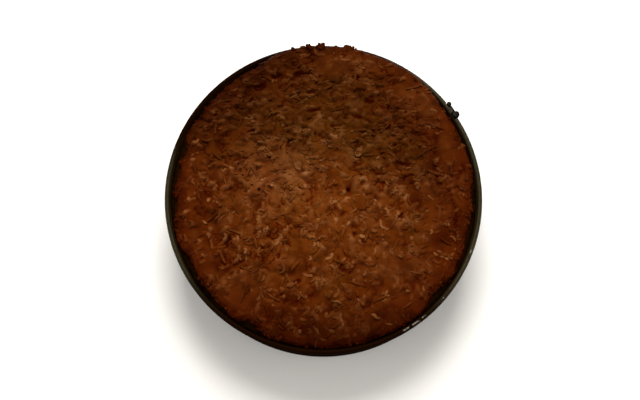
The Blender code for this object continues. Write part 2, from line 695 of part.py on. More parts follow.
def topping_section(azimuth):
    """The topping's section: relief on top, a rounded ragged edge and a seat on the cake."""
    edge = edge_radius(azimuth)
    rise, _ = over_rim(math.degrees(azimuth) % 360.0)
    above_rim = TIN_HEIGHT + 1.3 * GAP
    lip_bottom = mix(TOPPING_LIP_BOTTOM, above_rim, rise)
    lip_middle = mix(TOPPING_LIP_HEIGHT, above_rim + RIM_LIP, rise)
    points = [(0.0, topping_top(0.0, 0.0))]
    for share in TOPPING_RINGS:
        radius = share * edge
        height = topping_top(radius * math.cos(azimuth), radius * math.sin(azimuth))
        points.append((radius, height))
    shoulder = points[-1][1]
    for inset, share in LIP_ROUNDING:
        points.append((edge - inset, mix(lip_middle, shoulder, share)))
    points += [(edge, lip_middle), (edge - LIP_ROUNDING[-1][0], lip_bottom)]
    seat = min(CAKE_RADIUS - CAKE_SHOULDER, edge - SEAT_INSET)
    shelf = min(TIN_INNER_RADIUS - WALL_CLEARANCE, edge - SHELF_INSET)
    points.append((shelf, mix(lip_bottom - RIM_LIP, above_rim, rise)))
    seats = [seat] + [share * CAKE_RADIUS for share in reversed(CAKE_RINGS)]
    points += [(radius, cake_top(radius) + 1.2 * GAP) for radius in seats]
    points.append((0.0, cake_top(0.0) + 1.2 * GAP))
    return points


def shred(number, chance):
    """One bent shred that lies half sunk along the topping's surface."""
    azimuth = number * GOLDEN_ANGLE
    spread = math.sqrt((number + 0.5) / SHRED_COUNT)
    centre = spread * (edge_radius(azimuth) - SHRED_EDGE_INSET)
    length = chance.uniform(*SHRED_LENGTH)
    width = chance.uniform(*SHRED_WIDTH)
    heading = chance.uniform(0.0, math.pi)
    bend = chance.uniform(-SHRED_BEND, SHRED_BEND)
    step = length / (SHRED_STATIONS - 1)
    x = centre * math.cos(azimuth) - 0.5 * length * math.cos(heading)
    y = centre * math.sin(azimuth) - 0.5 * length * math.sin(heading)
    rings = []
    for station in range(SHRED_STATIONS):
        turn = heading + bend * (station / (SHRED_STATIONS - 1) - 0.5)
        along = Vector((math.cos(turn), math.sin(turn), 0.0))
        side = Vector((-along.y, along.x, 0.0))
        size = SHRED_END if station in (0, SHRED_STATIONS - 1) else 1.0
        half_width = 0.5 * size * width
        half_thickness = 0.5 * size * SHRED_THICKNESS
        middle = Vector((x, y, topping_top(x, y) + SHRED_LIFT))
        rise = Vector((0.0, 0.0, half_thickness))
        across = side * half_width
        rings.append((middle - across, middle - rise, middle + across, middle + rise))
        x += step * along.x
        y += step * along.y
    return loft(rings)


def make_cake(material):
    """The cake under the topping."""
    cake = make_object("cake", polar_solid(cake_section, CAKE_SECTORS), material)
    shade_round(cake)


def make_topping(material):
    """The topping, with its largest shreds fused on."""
    topping = make_object("topping", polar_solid(topping_section, TOPPING_SECTORS), material)
    chance = random.Random(SHRED_SEED)
    shreds = [
        make_object(f"shred_{number}", shred(number, chance))
        for number in range(2, SHRED_COUNT)]
    combine(topping, shreds, "UNION")
    keep_main_body(topping)
    shade_round(topping)


def main():
    """Build the tin, its clasp, the cake and the topping."""
    clear_scene()
    coating = make_material("tin_coating", COATING_COLOR, 0.45, 0.5)
    steel = make_material("clasp_steel", STEEL_COLOR, 0.4, 0.9)
    crumb = make_material("cake_crumb", CAKE_COLOR, 0.9)
    spread = make_material("chocolate_topping", TOPPING_COLOR, 0.6)
    frame = bpy.data.objects.new("clasp_frame", None)
    frame.rotation_euler = (0.0, 0.0, CLASP_AZIMUTH)
    bpy.context.scene.collection.objects.link(frame)
    make_band(coating, frame)
    make_base(coating)
    make_bracket(coating, frame)
    make_catch(coating, frame)
    make_rivets(steel, frame)
    make_pin(steel, frame)
    make_lever(coating, frame)
    make_link(steel, frame)
    make_cake(crumb)
    make_topping(spread)


main()
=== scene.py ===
"""A chocolate cake under a thick shredded topping, in its own springform tin.

Sizes are metres, +Z is up and the tin stands on the floor round the Z axis. The cake's
front faces -Y and the tin's clasp is at the back right.
"""
import json
import math
import random

import bmesh
import bpy
import numpy as np
from bpy.props import FloatProperty, FloatVectorProperty, IntProperty, PointerProperty
from mathutils import Matrix, Vector, noise

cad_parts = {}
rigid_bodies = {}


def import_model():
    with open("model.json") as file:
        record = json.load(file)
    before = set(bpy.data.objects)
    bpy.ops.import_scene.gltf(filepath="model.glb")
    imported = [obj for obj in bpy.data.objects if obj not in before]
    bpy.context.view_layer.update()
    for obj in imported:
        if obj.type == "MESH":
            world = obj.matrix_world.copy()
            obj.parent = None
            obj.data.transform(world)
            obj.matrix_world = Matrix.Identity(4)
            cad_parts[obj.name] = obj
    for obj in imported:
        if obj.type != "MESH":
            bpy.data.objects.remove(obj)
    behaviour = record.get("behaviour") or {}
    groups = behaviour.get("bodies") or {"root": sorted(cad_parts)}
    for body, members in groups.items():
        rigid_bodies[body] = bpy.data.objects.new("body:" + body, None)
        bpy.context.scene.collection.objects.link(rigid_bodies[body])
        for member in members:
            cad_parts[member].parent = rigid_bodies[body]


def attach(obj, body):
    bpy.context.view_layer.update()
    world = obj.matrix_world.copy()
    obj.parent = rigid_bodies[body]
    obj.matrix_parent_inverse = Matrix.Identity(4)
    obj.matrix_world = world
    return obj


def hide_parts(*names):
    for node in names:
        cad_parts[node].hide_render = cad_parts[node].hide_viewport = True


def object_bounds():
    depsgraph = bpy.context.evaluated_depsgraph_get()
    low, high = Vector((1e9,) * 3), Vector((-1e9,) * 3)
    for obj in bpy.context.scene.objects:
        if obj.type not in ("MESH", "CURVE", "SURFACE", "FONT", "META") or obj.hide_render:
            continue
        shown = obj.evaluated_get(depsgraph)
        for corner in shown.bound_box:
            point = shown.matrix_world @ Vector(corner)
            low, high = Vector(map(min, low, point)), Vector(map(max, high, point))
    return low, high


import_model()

bl_info = {
    "name": "Chocolate cake in a springform tin",
    "version": (1, 0, 0),
    "blender": (4, 5, 0),
    "location": "View3D > Sidebar > Cake",
    "description": "Makes the tin, its clasp, the cake, the shredded topping and a plain stage",
    "category": "Object",
}

CAD_BOX = [list(corner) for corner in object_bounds()]
MM = 0.001

# Tin band and base
TIN_INNER_RADIUS = 130.0 * MM
TIN_HEIGHT = 66.0 * MM
WALL = 0.7 * MM
ROLL_RADIUS = 2.1 * MM
ROLL_STEPS = 22
GROOVE_DEPTH = 1.8 * MM
GROOVE_LOW, GROOVE_HIGH, GROOVE_SLOPE = 2.2 * MM, 6.2 * MM, 1.0 * MM
BAND_FOOT = 0.8 * MM
ROUND_STEPS = 288
BAND_SPLIT = 0.15 * MM
BAND_START_ALONG = 1.5 * MM
TONGUE_GAP = 0.35 * MM
TONGUE_FROM, TONGUE_TO, TONGUE_JOINT_TO = -9.0 * MM, 12.0 * MM, -2.0 * MM
TONGUE_LOW, TONGUE_HIGH = 8.2 * MM, 54.0 * MM
OVERLAP = 0.3 * MM
BASE_SHEET = 0.8 * MM
BASE_FLANGE_RADIUS = 131.4 * MM
BASE_FLANGE_TOP, BASE_FLANGE_SHEET = 4.7 * MM, 1.0 * MM
BASE_STEP_RADIUS = 121.0 * MM
GAP = 0.3 * MM

# Where the rim's coating is rubbed thin and painted lighter as painted sheen, where grease and
# painted shade darken it, and where the inner wall has a chocolate smear that is painted lighter as
# painted light
RUBBED_SHEEN_RIGHT, RUBBED_SHEEN_LEFT = (30.0 * MM, 112.0 * MM), (-132.0 * MM, -70.0 * MM)
RIM_TOP = (TIN_HEIGHT - 1.1 * MM, TIN_HEIGHT - 0.1 * MM)
RIM_CREST = (TIN_HEIGHT - 0.22 * MM, TIN_HEIGHT - 0.07 * MM)
GREASY_SHADE_FRONT, GREASY_SHADE_BACK = (-118.0 * MM, -52.0 * MM), (92.0 * MM, 116.0 * MM)
INNER_FACE = (TIN_INNER_RADIUS + 0.1 * MM, TIN_INNER_RADIUS + 0.5 * MM)
SMEAR_LIGHT_FADE = (TIN_HEIGHT - 4.0 * MM, TIN_HEIGHT - 0.9 * MM)

# The way to the back left, where grease darkens the rim and both the rim and the topping are painted
# darker as painted shade
BACK_LEFT = (-0.6, 0.8, 0.0)

# Places where the rim's coating is scraped to bright metal, laid in thin lines along its crest as
# painted glints: centre, reach and strength
SCRAPED_GLINT_PLACES = (
    ((68.0 * MM, -113.2 * MM, TIN_HEIGHT), 5.0 * MM, 1.0),
    ((74.8 * MM, -108.8 * MM, TIN_HEIGHT), 5.5 * MM, 1.0),
    ((81.3 * MM, -104.0 * MM, TIN_HEIGHT), 4.5 * MM, 1.0),
    ((98.4 * MM, -88.0 * MM, TIN_HEIGHT), 2.6 * MM, 1.0),
    ((122.5 * MM, -50.0 * MM, TIN_HEIGHT), 2.4 * MM, 1.0),
)

# Clasp: bearing round the tin and places along the rim from the lever's pin
CLASP_AZIMUTH = math.radians(33.8)
PIVOT_RADIUS = 134.9 * MM
LEVER_EYE_ALONG, LEVER_EYE_RADIUS = -5.2 * MM, 134.2 * MM
CATCH_ALONG = 5.8 * MM
CLASP_LOW, CLASP_HIGH = 28.0 * MM, 56.0 * MM
CLASP_MIDDLE = 0.5 * (CLASP_LOW + CLASP_HIGH)
LEAF_SHEET, LEAF_LENGTH = 0.7 * MM, 24.0 * MM
LEVER_SHEET, LEVER_LENGTH, LEVER_HALF_HEIGHT = 0.8 * MM, 52.0 * MM, 11.5 * MM
LEVER_TAPER, LEVER_FLARE, LEVER_FLARE_FROM = 0.28, 3.4 * MM, 0.72
LEVER_TIP_FROM, LEVER_TIP_ROUNDING = 0.88, 0.35
LEVER_STEPS = 48
RIB_FROM, RIB_TO, RIB_HALF_HEIGHT = -38.0 * MM, -14.0 * MM, 2.0 * MM
KNUCKLE_RADIUS, KNUCKLE_HEIGHT = 2.0 * MM, 6.0 * MM
WEB_HALF_WIDTH = 0.75 * MM
EYE_RADIUS, BORE_RADIUS, PIN_RADIUS = 1.9 * MM, 1.2 * MM, 0.95 * MM
PIN_HEAD_RADIUS, PIN_HEAD_HEIGHT = 1.7 * MM, 1.1 * MM
TOP_PLATE_HALF_WIDTH, BOTTOM_PLATE_HALF_WIDTH, LINK_PLATE = 2.5 * MM, 1.7 * MM, 1.2 * MM
LINK_TOP, LINK_BOTTOM = 59.2 * MM, 23.6 * MM
KNOB_TOP, KNOB_LOW, KNOB_ROUNDING = 66.5 * MM, 62.4 * MM, 0.6 * MM
LARGE_KNOB_RADIUS, SMALL_KNOB_RADIUS = 3.1 * MM, 2.0 * MM
NOTCH_NEAR, NOTCH_FAR, NOTCH_BEHIND, NOTCH_LOW = 0.3 * MM, 0.4 * MM, 0.25 * MM, 60.9 * MM
RIVET_RADIUS, RIVET_HEAD_RADIUS = 1.2 * MM, 2.2 * MM
RIVET_HEAD_HEIGHT, RIVET_INNER_HEIGHT = 0.9 * MM, 0.6 * MM
RIVET_ALONG = (-15.0 * MM, 17.0 * MM)
RIVET_HEIGHTS = (33.0 * MM, 51.0 * MM)
CORNER = 0.15 * MM

# Cake
CAKE_RADIUS = 124.0 * MM
CAKE_WOBBLE, CAKE_WOBBLE_SCALE = 0.7 * MM, 3.0
CAKE_EDGE_HEIGHT, CAKE_CENTRE_HEIGHT, CAKE_SHOULDER = 53.0 * MM, 60.5 * MM, 3.5 * MM
CAKE_SECTORS = 360
CRUMB_DEPTH = 0.45 * MM

# Topping
TOPPING_RADIUS = 126.6 * MM
TOPPING_CENTRE_HEIGHT, TOPPING_SHOULDER_HEIGHT = 71.9 * MM, 66.6 * MM
TOPPING_LIP_HEIGHT, TOPPING_LIP_BOTTOM = 62.6 * MM, 57.0 * MM
TOPPING_FLAT_SHARE = 0.94
RIM_LIP = 1.2 * MM
TOPPING_LIP_FOLD, SMEAR_HEIGHT, SMEAR_FOOT = 61.2 * MM, 60.6 * MM, 57.5 * MM
SHELF_INSET, SEAT_INSET = 2.2 * MM, 5.0 * MM
TOPPING_WALL_RADIUS = TIN_INNER_RADIUS - 0.6 * MM
RIM_AIR, CAKE_AIR = 1.3 * GAP, 1.2 * GAP
LEDGE_FULL_WIDTH, LEDGE_LEAST = 3.0 * MM, 0.25
UNDERSIDE_SHARES = (0.8, 0.5, 0.2)
EDGE_NOISE, EDGE_NOISE_SCALE = 0.9 * MM, 9.0
TOPPING_GRID = 256
LIP_RINGS, LIP_CRUMPLE_SIZE = 24, 3.2 * MM

# Above the knee the relief is pressed flatter, so that it stays under the highest level
HIGHEST = CAD_BOX[1][2] - 0.03 * MM
KNEE, KNEE_SLOPE = CAD_BOX[1][2] - 1.7 * MM, 0.4

# Where the topping lies over the rim, as bearings in degrees
RISE_START, RISE_END, REACH_START, REACH_END = 36.6, 41.4, 42.0, 54.0
LEAVE_START, LEAVE_END, FALL_START, FALL_END = 108.4, 112.9, 113.4, 118.4
OVER_RIM_RADIUS, OVER_RIM_TOP = 134.1 * MM, 69.6 * MM

# Between these bearings it covers the rim, and beside them the rim shows as a thin line
RIM_SHOWING_RADIUS = 132.6 * MM
COVER_START, COVER_FULL, COVER_LEAVE, COVER_END = 70.0, 80.0, 98.0, 104.0

# Swells and bays of the edge: bearing and half width in degrees, then reach
EDGE_FEATURES = (
    (13.5, 12.0, 4.2 * MM),
    (30.0, 9.0, 2.2 * MM),
    (39.5, 7.0, 3.2 * MM),
    (125.0, 17.0, 4.2 * MM),
    (141.5, 6.0, 2.0 * MM),
    (153.5, 6.5, 5.4 * MM),
    (162.5, 5.0, -2.6 * MM),
    (171.5, 4.5, -2.8 * MM),
    (184.5, 5.0, -2.8 * MM),
    (197.5, 8.0, 2.8 * MM),
    (208.0, 7.0, -1.8 * MM),
    (234.3, 4.0, 5.0 * MM),
    (241.5, 5.0, -2.6 * MM),
    (255.5, 11.0, 4.8 * MM),
    (276.0, 18.0, 3.6 * MM),
    (301.0, 15.0, 3.6 * MM),
    (318.5, 7.0, -2.4 * MM),
    (327.0, 4.0, 1.6 * MM),
    (346.0, 10.0, -1.2 * MM),
    (360.0, 5.0, -1.2 * MM),
)

# Relief of the topping
LUMP_SIZE, LUMP_HEIGHT = 24.0 * MM, 1.3 * MM
BUMP_SIZE, BUMP_HEIGHT = 9.0 * MM, 0.8 * MM
RIDGE_CENTRE, RIDGE_RADIUS = (-28.0 * MM, 0.5 * MM), 62.5 * MM
RIDGE_FROM, RIDGE_TO = math.radians(182.0), math.radians(288.0)
RIDGE_WIDTH, RIDGE_HEIGHT = 4.0 * MM, 1.5 * MM
TROUGH_OUT, TROUGH_WIDTH, TROUGH_DEPTH = 6.5 * MM, 2.2 * MM, 0.9 * MM

# Places that the spatula left smooth: centre and radius
SMOOTH_PLACES = (
    (6.0 * MM, 114.0 * MM, 14.0 * MM),
    (71.0 * MM, 91.0 * MM, 11.0 * MM),
    (88.0 * MM, 74.0 * MM, 10.0 * MM),
    (101.5 * MM, 54.0 * MM, 10.0 * MM),
    (110.5 * MM, 31.7 * MM, 9.0 * MM),
    (50.0 * MM, -118.0 * MM, 11.0 * MM),
    (-19.0 * MM, -49.0 * MM, 10.0 * MM),
    (-46.0 * MM, 18.0 * MM, 9.0 * MM),
    (8.0 * MM, 14.0 * MM, 8.0 * MM),
    (96.0 * MM, -45.0 * MM, 10.0 * MM),
    (-70.0 * MM, -90.0 * MM, 10.0 * MM),
)

# Clefts, cut into the topping and painted dark as painted shade: centre, heading in degrees, length
# and width
CLEFTS = (
    (-21.0 * MM, 106.5 * MM, 8.0, 13.0 * MM, 2.4 * MM),
    (-12.5 * MM, 124.0 * MM, 70.0, 8.0 * MM, 1.9 * MM),
    (-40.2 * MM, 104.0 * MM, 25.0, 11.0 * MM, 1.7 * MM),
    (-54.8 * MM, 94.5 * MM, 20.0, 12.0 * MM, 2.0 * MM),
    (27.5 * MM, 102.0 * MM, -8.0, 9.0 * MM, 1.5 * MM),
    (-10.0 * MM, 88.0 * MM, 8.0, 13.0 * MM, 1.4 * MM),
    (-71.7 * MM, 76.0 * MM, 35.0, 10.0 * MM, 1.5 * MM),
    (66.5 * MM, 24.6 * MM, -10.0, 13.0 * MM, 1.5 * MM),
    (64.6 * MM, -21.0 * MM, 60.0, 9.0 * MM, 1.6 * MM),
    (-21.7 * MM, -75.6 * MM, 30.0, 8.0 * MM, 1.4 * MM),
    (-79.0 * MM, -42.0 * MM, 70.0, 11.0 * MM, 1.3 * MM),
    (12.0 * MM, 58.0 * MM, 5.0, 14.0 * MM, 1.3 * MM),
    (-62.0 * MM, 53.0 * MM, 25.0, 11.0 * MM, 1.3 * MM),
    (40.0 * MM, 80.0 * MM, -12.0, 12.0 * MM, 1.4 * MM),
    (-8.0 * MM, 72.0 * MM, 10.0, 16.0 * MM, 1.3 * MM),
    (30.0 * MM, 66.0 * MM, -6.0, 12.0 * MM, 1.3 * MM),
)
CLEFT_DEPTH, CLEFT_BARE = 2.3 * MM, 0.9 * MM

# Two small air holes: centre and radius
AIR_HOLES = ((-54.0 * MM, 1.8 * MM, 1.7 * MM), (20.6 * MM, 1.8 * MM, 1.8 * MM))
AIR_HOLE_DEPTH, AIR_HOLE_CLEARANCE = 3.6 * MM, 5.5 * MM

# Places where the topping is painted paler: centre, reach and strength
PALER_PLACES = (
    ((-42.0 * MM, 18.0 * MM, 0.0), 48.0 * MM, 0.7),
    ((87.0 * MM, 82.0 * MM, 0.0), 40.0 * MM, 0.6),
    ((102.0 * MM, 14.0 * MM, 0.0), 30.0 * MM, 0.3),
    ((73.0 * MM, -73.0 * MM, 0.0), 34.0 * MM, 0.45),
    ((-78.0 * MM, -78.0 * MM, 0.0), 36.0 * MM, 0.3),
)

# Where the topping is painted darker as painted shade: to its edge, where it also turns redder, to
# its back, and along its front and back left edges
EDGE_SHADE_REACH = (0.0, 165.0 * MM)
OLIVE_BACK = (-50.0 * MM, 90.0 * MM)
BACK_SHADE_WAY, BACK_SHADE = (0.2, 1.0, 0.0), (-5.0 * MM, 50.0 * MM)
BACK_SHADE_OUT = (88.0 * MM, 120.0 * MM)
FRONT_SHADE, BACK_LEFT_SHADE = (-125.0 * MM, -80.0 * MM), (84.0 * MM, 124.0 * MM)

# Shreds pressed into the topping's skin
RASTER_PITCH = 0.5 * MM
RASTER_HALF = 135.0 * MM
SKIN_LEVEL, SKIN_TONE = -0.3 * MM, 0.35
LIP_RAISED = 0.4
PRESSED_LENGTH, PRESSED_WIDTH = (3.8 * MM, 9.0 * MM), (2.1 * MM, 3.9 * MM)
PRESSED_LEVEL, PRESSED_THICKNESS = (-0.9 * MM, 0.2 * MM), (0.7 * MM, 1.5 * MM)
PRESSED_BEND, PRESSED_TILT = 22.0, 0.45 * MM
FLAKE_SHARE, FLAKE_TONE = 0.16, 0.3
FLAKE_LENGTH, FLAKE_WIDTH = (7.0 * MM, 14.0 * MM), (3.6 * MM, 6.5 * MM)
MOAT_DEPTH, MOAT_REACH = 0.3 * MM, 1.8

# The relief grows to the back, and is calm outside the middle and the back
BACK_GAIN, BACK_GROWTH, BACK_FADE = 2.3, (-15.0 * MM, 35.0 * MM), (130.0 * MM, 80.0 * MM)
CALM_OUT, CALM_FRONT = (56.0 * MM, 94.0 * MM), (85.0 * MM, 42.0 * MM)
STAND_REACH = 0.8 * MM
CRINKLE_SIZE, CRINKLE_REACH, CRINKLE_SEED = 3.4 * MM, 1.7 * MM, 3
DRIFT_SIZE, EDGE_ROUGHNESS = 17.0 * MM, 0.4
DIMPLE_SIZE, DIMPLE_DEPTH = 6.5 * MM, 0.8 * MM
SWELL_SIZE, SWELL_DEPTH = 14.0 * MM, 2.0 * MM
CRACK_SIZE, CRACK_DEPTH, CRACK_WIDTH = 9.0 * MM, 1.3 * MM, 0.08
CRACK_PATCH = 32.0 * MM
SHRED_OVERHANG = 0.6 * MM

# The largest shreds, which stand furthest out
BIG_SHRED_COUNT, BIG_SHRED_SEED = 96, 26
BIG_SHRED_LENGTH, BIG_SHRED_WIDTH = (9.0 * MM, 13.5 * MM), (2.0 * MM, 2.8 * MM)
BIG_SHRED_THICKNESS, BIG_SHRED_LIFT = 1.5 * MM, 0.5 * MM
BIG_SHRED_BEND = math.radians(34.0)
SHRED_EDGE_INSET = 7.5 * MM
GOLDEN_ANGLE = math.pi * (3.0 - math.sqrt(5.0))
SHRED_STATIONS, SHRED_SIDES, SHRED_SHAPES = 8, 8, 16
SHRED_RING_SIZE = (0.72, 1.15)
BIG_STATIONS, BIG_SIDES = 9, 8

# Clumps of shreds that stand up over the rim at the back: bearing, top height and number
CLUMPS = (
    (90.5, 74.2 * MM, 5),
    (94.8, 72.0 * MM, 3),
    (82.4, 72.0 * MM, 3),
    (79.3, 71.2 * MM, 2),
    (99.5, 71.0 * MM, 2),
)
CLUMP_RADIUS, CLUMP_FOOT, CLUMP_SPREAD = 131.2 * MM, 68.4 * MM, 1.4 * MM
CLUMP_LENGTH, CLUMP_WIDTH, CLUMP_THICKNESS = 6.5 * MM, 3.2 * MM, 2.6 * MM

# Stage
CAMERA_AIM = (-2.9 * MM, -4.7 * MM, 62.0 * MM)
LIGHT_AIM = (0.0, 0.0, 50.0 * MM)
KEY_PLACE, KEY_SIZE, KEY_COLOR = (0.02, 0.82, 1.2), 0.65, (1.0, 0.97, 0.92)
FILL_PLACES = (("fill_right", (1.35, -0.15, 0.8)), ("fill_left", (-1.35, -0.3, 0.8)))
FILL_SIZE, FILL_COLOR = 1.0, (1.0, 0.94, 0.85)
STUDIO_COLOR, STUDIO_STRENGTH = (1.0, 0.97, 0.93, 1.0), 0.48
FLOOR_RADIUS, FLOOR_DROP = 4.0, 0.05 * MM


class TinSettings(bpy.types.PropertyGroup):
    """Finish of the tin and its clasp."""

    coat_color: FloatVectorProperty(
        name="Coating", description="Dark non-stick coating", subtype="COLOR", size=3,
        default=(0.005, 0.004, 0.002))
    coat_tint: FloatVectorProperty(
        name="Coating tint", description="Olive cast where the coating has been baked often",
        subtype="COLOR", size=3, default=(0.009, 0.0072, 0.0024))
    # Partly wear and partly painted sheen: the rubbed rim is painted lighter on its right and left
    # sides.
    worn_sheen_color: FloatVectorProperty(
        name="Worn coating", description="Coating rubbed thin on the rolled rim", subtype="COLOR",
        size=3, default=(0.022, 0.0165, 0.007))
    # Bright metal at scrapes, also laid along the rim's crest as painted glints.
    bare_glint_color: FloatVectorProperty(
        name="Bare metal", description="Bright metal where the rim is scraped", subtype="COLOR",
        size=3, default=(0.13, 0.115, 0.095))
    # Grease and painted shade: the rim is painted near black at the front and the back left.
    grease_shade_color: FloatVectorProperty(
        name="Grease", description="Baked chocolate and grease on the front of the rim",
        subtype="COLOR", size=3, default=(0.0065, 0.0018, 0.0003))
    # Partly smear and partly painted light: it lightens the shaded inner face of the wall.
    smear_light_color: FloatVectorProperty(
        name="Smear", description="Chocolate smeared down the inside of the wall",
        subtype="COLOR", size=3, default=(0.055, 0.024, 0.0025))
    steel_color: FloatVectorProperty(
        name="Steel", description="Darkened steel of the pins and rivets", subtype="COLOR", size=3,
        default=(0.008, 0.007, 0.005))


class ToppingSettings(bpy.types.PropertyGroup):
    """Colours of the topping and the cake."""

    body_color: FloatVectorProperty(
        name="Topping", description="Main chocolate brown", subtype="COLOR", size=3,
        default=(0.111, 0.025, 0.0026))
    # Painted shade: the hollows of the topping are painted darker.
    hollow_shade_color: FloatVectorProperty(
        name="Hollows", description="Chocolate in the hollows", subtype="COLOR", size=3,
        default=(0.06, 0.0055, 0.0005))
    # Partly thin coat and partly painted highlight on the tips of the shreds.
    pale_highlight_color: FloatVectorProperty(
        name="Tips", description="Thinly coated tips of the shreds", subtype="COLOR", size=3,
        default=(0.25, 0.109, 0.04))
    # Painted shade: the tips' paler colour darkens towards the edge.
    pale_shade: FloatVectorProperty(
        name="Tips at the edge", description="How the tips darken to the topping's edge",
        subtype="COLOR", size=3, default=(0.74, 0.56, 0.36))
    olive_color: FloatVectorProperty(
        name="Olive cast", description="Duller patches of the topping", subtype="COLOR", size=3,
        default=(0.104, 0.0294, 0.0027))
    thick_shade: FloatVectorProperty(
        name="Thick coat", description="How the topping darkens where its coat is thick",
        subtype="COLOR", size=3, default=(0.64, 0.55, 0.5))
    # Painted shade towards the back, and along the front and back left edges.
    back_shade: FloatVectorProperty(
        name="Back shade", description="How the topping darkens to its back", subtype="COLOR",
        size=3, default=(0.64, 0.63, 0.58))
    front_shade: FloatVectorProperty(
        name="Front shade", description="How the topping darkens along its front edge",
        subtype="COLOR", size=3, default=(0.57, 0.52, 0.52))
    # Painted shade: the shelf of chocolate out to the wall is painted near black where the gap lies
    # in shade.
    ledge_shade_color: FloatVectorProperty(
        name="Ledge", description="Thin dark chocolate smeared out to the wall",
        subtype="COLOR", size=3, default=(0.006, 0.0024, 0.0003))
    # Paler colour painted at the listed places.
    paler_color: FloatVectorProperty(
        name="Thin coat", description="Paler chocolate where the coat is thinnest",
        subtype="COLOR", size=3, default=(0.165, 0.053, 0.014))
    # Painted shade and a redder colour towards the topping's edge.
    edge_shade: FloatVectorProperty(
        name="Edge shade", description="How the topping darkens and reddens to its edge",
        subtype="COLOR", size=3, default=(0.4, 0.165, 0.03))
    crumb_color: FloatVectorProperty(
        name="Cake", description="Baked chocolate crumb", subtype="COLOR", size=3,
        default=(0.05, 0.019, 0.008))


class ShredSettings(bpy.types.PropertyGroup):
    """Sizes and numbers of the shreds."""

    pressed_count: IntProperty(
        name="Pressed shreds", description="Shreds sunk in the topping's skin", default=3000,
        min=0)
    pressed_seed: IntProperty(
        name="Pressed seed", description="Seed of the pressed shreds", default=5)
    length: FloatProperty(
        name="Shred length", description="Length of a usual loose shred", default=7.0 * MM,
        unit="LENGTH")
    width: FloatProperty(
        name="Shred width", description="Width of a usual loose shred", default=3.5 * MM,
        unit="LENGTH")
    thickness: FloatProperty(
        name="Shred thickness", description="Thickness of a usual loose shred",
        default=1.9 * MM, unit="LENGTH")
    density: FloatProperty(
        name="Shreds per square metre", description="Loose shreds on the topping",
        default=24000.0, min=0.0)
    edge_density: FloatProperty(
        name="Edge shreds per square metre", description="Loose shreds along the ragged edge",
        default=42000.0, min=0.0)
    seed: IntProperty(name="Seed", description="Seed of the loose shreds", default=11)


class StageSettings(bpy.types.PropertyGroup):
    """Camera, lights and floor."""

    elevation: FloatProperty(
        name="Elevation", description="Camera's angle above the floor",
        default=math.radians(76.8), unit="ROTATION")
    distance: FloatProperty(
        name="Distance", description="Camera's distance from the rim's centre", default=0.74,
        unit="LENGTH")
    lens: FloatProperty(name="Lens", description="Focal length in millimetres", default=49.15)
    key_power: FloatProperty(
        name="Key light", description="Power in watts", default=22.8, unit="POWER")
    fill_power: FloatProperty(
        name="Fill light", description="Power in watts", default=5.0, unit="POWER")
    floor_color: FloatVectorProperty(
        name="Floor", description="Plain pale floor", subtype="COLOR", size=3,
        default=(0.93, 0.93, 0.925))


# Meshes

def smoothstep(low, high, value):
    """Ease from 0 at low to 1 at high."""
    share = min(max((value - low) / (high - low), 0.0), 1.0)
    return share * share * (3.0 - 2.0 * share)


def mix(start, end, share):
    """Blend two numbers or arrays."""
    return start + (end - start) * share


def add_object(name, mesh, material=None, angle=40.0):
    """Link a mesh as an object, shaded smooth with its sharp edges kept."""
    item = bpy.data.objects.new(name, mesh)
    mesh.shade_smooth()
    mesh.set_sharp_from_angle(angle=math.radians(angle))
    if material:
        mesh.materials.clear()
        mesh.materials.append(material)
    bpy.context.scene.collection.objects.link(item)
    return item


def closed_mesh(name, shape):
    """Turn a bmesh into a mesh, with its faces pointing outwards."""
    bmesh.ops.recalc_face_normals(shape, faces=shape.faces)
    mesh = bpy.data.meshes.new(name)
    shape.to_mesh(mesh)
    shape.free()
    return mesh


def from_shape(name, shape, material=None):
    """Turn a bmesh into an object."""
    return add_object(name, closed_mesh(name, shape), material)


def store_values(mesh, name, values):
    """Store a value for each corner of a mesh."""
    mesh.attributes.new(name, "FLOAT", "POINT").data.foreach_set(
        "value", np.asarray(values, np.float32))


def evaluated_mesh(item):
    """A plain mesh of an object as its modifiers leave it."""
    bpy.context.view_layer.update()
    graph = bpy.context.evaluated_depsgraph_get()
    return bpy.data.meshes.new_from_object(item.evaluated_get(graph), depsgraph=graph)


def apply_modifiers(item):
    """Replace an object's mesh by its evaluated one."""
    mesh = evaluated_mesh(item)
    item.modifiers.clear()
    item.data = mesh


def combine(item, pieces, operation):
    """Apply one Boolean between an object and a collection of pieces, then remove the pieces."""
    group = bpy.data.collections.new(item.name + "_pieces")
    bpy.context.scene.collection.children.link(group)
    for piece in pieces:
        bpy.context.scene.collection.objects.unlink(piece)
        group.objects.link(piece)
    modifier = item.modifiers.new("combine", "BOOLEAN")
    modifier.operation = operation
    modifier.operand_type = "COLLECTION"
    modifier.collection = group
    apply_modifiers(item)
    for piece in list(group.objects):
        bpy.data.objects.remove(piece, do_unlink=True)
    bpy.data.collections.remove(group)


def soften(item, width=CORNER, angle=40.0):
    """Round an object's sharp edges a little."""
    modifier = item.modifiers.new("soften", "BEVEL")
    modifier.width = width
    modifier.segments = 2
    modifier.limit_method = "ANGLE"
    modifier.angle_limit = math.radians(angle)
    modifier.use_clamp_overlap = True
    apply_modifiers(item)
    item.data.shade_smooth()
    item.data.set_sharp_from_angle(angle=math.radians(50.0))


def finish_piece(item, material, body, slot, *nodes):
    """Give a piece its material and its body, and hide the nodes it stands for. The slot is not used.
    """
    item.data.materials.clear()
    item.data.materials.append(material)
    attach(item, body)
    if nodes:
        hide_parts(*nodes)


def rim_point(radius, along):
    """A point in plan, at a distance along the rim from the lever's pin."""
    angle = CLASP_AZIMUTH + along / PIVOT_RADIUS
    return Vector((radius * math.cos(angle), radius * math.sin(angle)))


